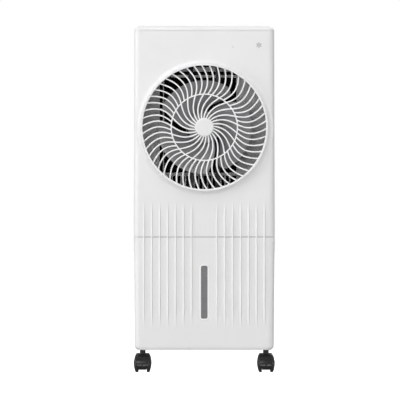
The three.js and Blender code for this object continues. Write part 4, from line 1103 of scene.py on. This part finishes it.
def tank_front():
    """The tank's outer wall, with its hand pull and the recess round the drain plug."""
    low, high = REAR - 10, REAR - 0.4
    corners = ((-1, low), (1, low), (1, high), (-1, high))
    side = lambda z: half_width(z) - WALL - 0.6
    outer = skin([lift([(s * side(z), v) for s, v in corners], z, "z") for z in PANEL_Z])
    hollow = block((-140, 140), (low - 5, high - 4), (PANEL_Z[0] + 4, PANEL_Z[1] - 4))
    rows = off(REAR, [(3, -32), (0.8, -31.2), (0, -29), (0, -2.4)])
    cup = slab(around(0, PULL_HALF + 2), (PULL_Z[0] - 2, PULL_Z[1] + 2), 10, rows)
    rows = off(REAR, [(4, -30), (1, -29), (0, -26.5), (0, -2), (-0.5, -0.9), (-1.6, -0.4), (-3, 4.6)])
    hand = slab(around(0, PULL_HALF), PULL_Z, 8, rows, count=8)
    boss = rod("y", 16, (low, high - 2), (0, 0, DRAIN_Z), sides=64)
    rows = off(REAR, [(0, -6), (12.9, -6), (13.5, -5.4), (13.5, -1.2), (14.4, -0.38), (14.6, 5), (0, 5)])
    recess = turned(rows, "y", (0, 0, DRAIN_Z), 96)
    drain = rod("y", 8, (REAR - 20, REAR + 5), (0, 0, DRAIN_Z))
    lines = [block((-118, 118), (high - 0.5, high + 2), around(z, 0.6)) for z in (118.0, 236.0)]
    return carve(join(carve(outer, hollow), cup, boss), hand, recess, drain, *lines)


def drain_plug():
    """A rubber-lipped plug with a knurled rim and a bar to turn it by."""
    foot, low, high = TANK_Y[1] - 6, REAR - 5.6, REAR - 2.5
    body = turned([(0, foot), (6.6, foot), (7.5, foot + 1), (7.5, low), (12.0, low), (12.5, low + 0.4),
        (12.5, high - 0.5), (12.0, high), (0, high)], sides=72)
    notch = rod("y", 0.7, (low - 1, high + 1), (12.7, 0, 0), sides=10)
    notches = [spun(notch, a) for a in range(0, 360, 15)]
    bar = slab((-2, 2), (-10, 10), 1.9, off(REAR, [(0, -3.5), (0, -1.2), (0.3, -0.6), (0.9, -0.4)]), count=6)
    return shifted(join(carve(body, *notches), bar), dz=DRAIN_Z)


# ---------------------------------------------------------------- casters

STEM_FOOT = 13.0
KEYHOLE_Z = (24.6, 29.6)


def axle_of(x, y):
    return x, y - CASTER_TRAIL, WHEEL_RADIUS


def hood(x, y):
    """A rounded hood over both wheels, with the web that carries the axle and the neck for the stem."""
    axle = axle_of(x, y)
    edge = [(0, 0), (18.9, 0), (20.1, 0.4), (HOOD_RADIUS - 0.15, 1.2), (HOOD_RADIUS, 2.2)]
    drum = turned(off(-HOOD_HALF, edge) + [(r, HOOD_HALF - a) for r, a in reversed(edge)], "x", axle, 72)
    front, wide = axle[1] - HOOD_RADIUS, around(x, 50)
    below = (block(wide, (axle[1] - 5, y + 100), (-10, WHEEL_RADIUS + 2)),
        block(wide, (y - 100, axle[1] - 4), (-10, 13.2)),
        block(around(x, 2), (front - 5, front + 0.7), (5, 17.5)))
    inside = rod("x", HOOD_RADIUS - 1.3, (-50, 50), axle, sides=72)
    half = [(0, 0), (18.6, 0), (20, 1.4)]
    rows = off(-WEB_HALF, half) + [(r, WEB_HALF - a) for r, a in reversed(half)]
    web = carve(turned(rows, "x", axle, 72), block(wide, around(y, 100), (-10, 5.2)))
    neck = turned([(0, WHEEL_RADIUS), (8.5, WHEEL_RADIUS), (8.5, 37.4), (8.1, 38.6), (7.2, 39.5), (0, 39.6)],
        "z", (x, y, 0), 48)
    body = join(carve(drum, *below, inside), web, neck)
    depth = (front - 5, front + 4.2)
    keyhole = rod("y", 1.9, depth, (x, 0, KEYHOLE_Z[1]), sides=24), block(around(x, 0.8), depth, KEYHOLE_Z)
    bores = [rod("z", 6.0, (STEM_FOOT, 60), (x, y, 0), sides=48), rod("x", 3.3, (-50, 50), axle)]
    return carve(body, *bores, *keyhole)


def wheel(x, y, side):
    """A tyred wheel: eased tread, a groove inside it and a domed cap."""
    axle = axle_of(x, y)
    inner = WEB_HALF + 0.5
    profile = [(0, 15.4), (3.3, 15.4), (3.3, inner), (17.9, inner), (18.5, inner + 0.3),
        (WHEEL_RADIUS, inner + 1.0), (WHEEL_RADIUS, 13.4), (18.5, 14.4), (17.6, 15.3), (16.6, 15.9),
        (16.2, 16.0), (15.9, 15.5), (15.3, 15.6), (15.0, 16.5), (12.5, 17.25), (8.0, 18.2), (7.7, 17.9),
        (7.1, 18.0), (6.8, 18.4), (4, 18.8), (0, 19.0)]
    body = turned([(r, side * a) for r, a in profile], "x", axle, 96)
    circle = arc(axle[1], axle[2], 11, 18, 306, 4)
    dents = [rod("x", 1.9, sorted((side * 16.6, side * 22)), (x, v, w), sides=20) for v, w in circle]
    return carve(body, *dents)


# ---------------------------------------------------------------- assembly

def make_housing():
    shells = (("front_moulding", front_shell(), "front_shell"), ("rear_moulding", rear_shell(), "rear_shell"),
        ("top_moulding", top_cover(), "top_cover"), ("base_moulding", base_shell(), "base_shell"),
        ("grip_left", grip_cup(-1), "handle_cup_left"), ("grip_right", grip_cup(1), "handle_cup_right"))
    for name, shape, node in shells:
        piece(name, shape, "housing_white", (node,), weighted=True)
    piece("gland", cord_gland(), "black_plastic", ("cord_gland",))
    piece("rear_screws", heap([screw(x, z, REAR) for x, z in SCREWS]), "steel")
    piece("seam_shade_strip", seam_shade_strip(), "seam_painted_shade")
    piece("sight_rim_highlight", sight_rim_highlight(), "rim_painted_highlight")
    piece("level_sight", level_window(), "window_grey", ("level_window",), weighted=True)
    piece("indicator", lens(*INDICATOR), "light_guide", ("indicator_lens",))
    piece("receiver", lens(*RECEIVER), "receiver_grey", ("receiver_window",))
    x, z, _ = INDICATOR
    flake = snowflake(x, z, 5.9, 0.85, FRONT - 0.03, FRONT + 0.15)
    piece("snowflake", flake, "mark_grey", slot="light_guide")


def make_controls():
    piece("panel", control_panel(), "panel_black", ("control_panel",), weighted=True)
    piece("display", display(), "display_smoke", ("display_lens",), weighted=True)
    piece("display_figures", digits(), "mark_grey", slot="window_grey")
    piece("panel_lamps", lamps(), "mark_grey", slot="light_guide")
    piece("board", board(), "circuit_board", ("control_board",), bevel=0.2)
    for name, x in BUTTONS.items():
        body = f"{name}_button"
        mark = icon(name, x, PANEL_MID, PANEL_TOP - 0.6, PANEL_TOP - 0.12)
        piece(f"button_{name}_cap", button(x), "pale_plastic", (f"button_{name}",), body)
        piece(f"button_{name}_icon", mark, "black_plastic", (), body)


def make_fan():
    piece("fan_guard", front_guard(), "guard_white_painted_light", ("front_grille",), smooth=40)
    piece("guard_cap", guard_cap(), "housing_white", ("grille_cap",))
    piece("fan", fan(), "blade_grey", ("fan_blades",), "fan", smooth=40)
    piece("fan_knob", fan_nut(), "black_plastic", ("fan_nut",), "fan")
    shaft = rod("y", 4, (FAN_FRONT - 1.4, -18), (0, 0, FAN_Z), 0.5, 48)
    piece("shaft", shaft, "steel", ("motor_shaft",), "fan")
    piece("motor", motor(), "motor_steel", ("motor_housing",))
    keep("motor_mount", "motor_steel", 0.5)


def make_cooling():
    piece("bulkhead", bulkhead(), "inner_white_painted_light", ("inner_frame",), bevel=0.4)
    piece("pad_tray", pad_frame(), "pale_plastic", ("pad_frame",), bevel=0.4)
    piece("pad", cooling_pad(), "pad_paper", ("cooling_pad",), smooth=60)
    piece("trough", trough(), "pale_plastic", ("water_distributor",), weighted=True)
    piece("hose", tube(smooth_line(HOSE), 5, 3.6), "hose_vinyl", ("water_hose",), smooth=50)
    piece("pump", pump(), "black_plastic", ("water_pump",), weighted=True)
    piece("start_capacitor", capacitor(), "pale_plastic", ("capacitor",))
    keep("pump_hanger", "pale_plastic", 0.6)
    keep("deck", "pale_plastic", 0.6)


def make_back():
    piece("back_louvres", rear_louvres(), "guard_white_painted_light", ("rear_grille",), "back_cover", weighted=True)
    piece("filter", dust_filter(), "filter_mesh", ("dust_filter",), "back_cover")
    piece("catch", turn_catch(), "guard_white_painted_light", ("tank_latch",), "latch")
    piece("catch_pin", catch_pin(), "steel", ("latch_pin",))


def make_tank():
    piece("bin", tank(), "tank_plastic", ("water_tank",), "tank", weighted=True)
    piece("tank_wall", tank_front(), "housing_white", ("tank_panel",), "tank", weighted=True)
    piece("plug", drain_plug(), "black_plastic", ("drain_plug",), "plug")


def make_casters():
    for name, (x, y) in CASTERS.items():
        body = f"caster_{name}"
        stem = rod("z", 5.7, (STEM_FOOT + GAP, 68), (x, y, 0), 0.6, 48)
        axle = rod("x", 3, (-15, 15), axle_of(x, y), 0.4)
        piece(f"hood_{name}", hood(x, y), "hood_black", (f"{body}_hood",), body, smooth=36)
        piece(f"stem_{name}", stem, "black_steel", (f"{body}_stem",), body)
        piece(f"axle_{name}", axle, "steel", (f"{body}_axle",), body)
        for side, word in ((-1, "left"), (1, "right")):
            own = f"wheel_{name}_{word}"
            piece(own, wheel(x, y, side), "wheel_black", (f"{body}_wheel_{word}",), own)


# ---------------------------------------------------------------- studio, in metres

CAMERA = (-0.0092, FRONT * MM - 35.0, 0.3693)
LENS = 1470


def lamp(name, place, target, size, power, diffuse=True, glossy=True):
    light = bpy.data.lights.new(name, "AREA")
    light.shape, light.energy = "RECTANGLE", power
    light.size, light.size_y = size
    thing = add_object(name, light)
    thing.location = place
    thing.rotation_euler = (Vector(target) - thing.location).to_track_quat("-Z", "Y").to_euler()
    thing.visible_camera, thing.visible_diffuse, thing.visible_glossy = False, diffuse, glossy


def floor():
    """A pale floor that neither the part's reflections nor its soft light show."""
    corners = [(-80, -80, 0), (80, -80, 0), (80, 80, 0), (-80, 80, 0)]
    thing = add_object("floor", build_mesh("floor", (corners, [(0, 1, 2, 3)])))
    thing.location.z = -0.0003
    pale = bpy.data.materials.new("floor")
    pale.use_nodes = True
    sockets = pale.node_tree.nodes["Principled BSDF"].inputs
    for key, value in (("Base Color", (0.9, 0.9, 0.9, 1)), ("Roughness", 0.9),
            ("Emission Color", (1, 1, 1, 1)), ("Emission Strength", 0.82)):
        sockets[key].default_value = value
    thing.data.materials.append(pale)
    thing.visible_diffuse = thing.visible_glossy = thing.visible_shadow = False


def sky():
    """White to the camera, and a soft grey that grows upwards for the light."""
    world = bpy.data.worlds.new("studio")
    bpy.context.scene.world = world
    world.use_nodes = True
    tree = world.node_tree
    tree.nodes.clear()
    path = wire(tree, "LightPath")
    way = wire(tree, "SeparateXYZ", Vector=wire(tree, "TexCoord").outputs["Generated"]).outputs["Z"]
    grey = ranged(tree, way, -0.5, 0.8, 0.32, 0.42)
    seen, lit = (wire(tree, "Background", Color=(1, 1, 1, 1), Strength=s) for s in (1.0, grey))
    mix = wire(tree, "MixShader")
    tree.links.new(path.outputs["Is Camera Ray"], mix.inputs[0])
    tree.links.new(lit.outputs[0], mix.inputs[1])
    tree.links.new(seen.outputs[0], mix.inputs[2])
    tree.links.new(mix.outputs[0], wire(tree, "OutputWorld").inputs[0])


def studio():
    camera = add_object("camera", bpy.data.cameras.new("camera"))
    camera.data.lens, camera.data.sensor_width, camera.data.clip_end = LENS, 36, 200
    camera.location = CAMERA
    camera.rotation_euler = (math.radians(90), 0, 0)
    bpy.context.scene.camera = camera
    lamp("key", (-1.0, -3.6, 1.1), (0, 0, 0.42), (1.6, 1.4), 23)
    lamp("front", (-0.05, -4.2, 0.62), (0, 0, 0.57), (0.4, 0.4), 16, glossy=False)
    lamp("top", (-0.5, -0.95, 2.8), (0, 0, 0.6), (1.2, 0.8), 21, glossy=False)
    lamp("strip", (-2.9, -0.95, 0.6), (0, FRONT * MM, 0.38), (0.45, 1.6), 34)
    lamp("fill", (1.9, -1.9, 0.3), (0, 0, 0.4), (0.8, 1.2), 11)
    lamp("under", (0, -1.6, -0.44), (0, FRONT * MM, 0.02), (1.2, 0.08), 3.5, diffuse=False)
    lamp("back", (0.9, 2.6, 2.2), (0, 0, 0.4), (1.6, 1.6), 40)
    floor()
    sky()
    bpy.context.scene.view_settings.view_transform = "Standard"


studio()
make_housing()
make_controls()
make_fan()
make_cooling()
make_back()
make_tank()
make_casters()
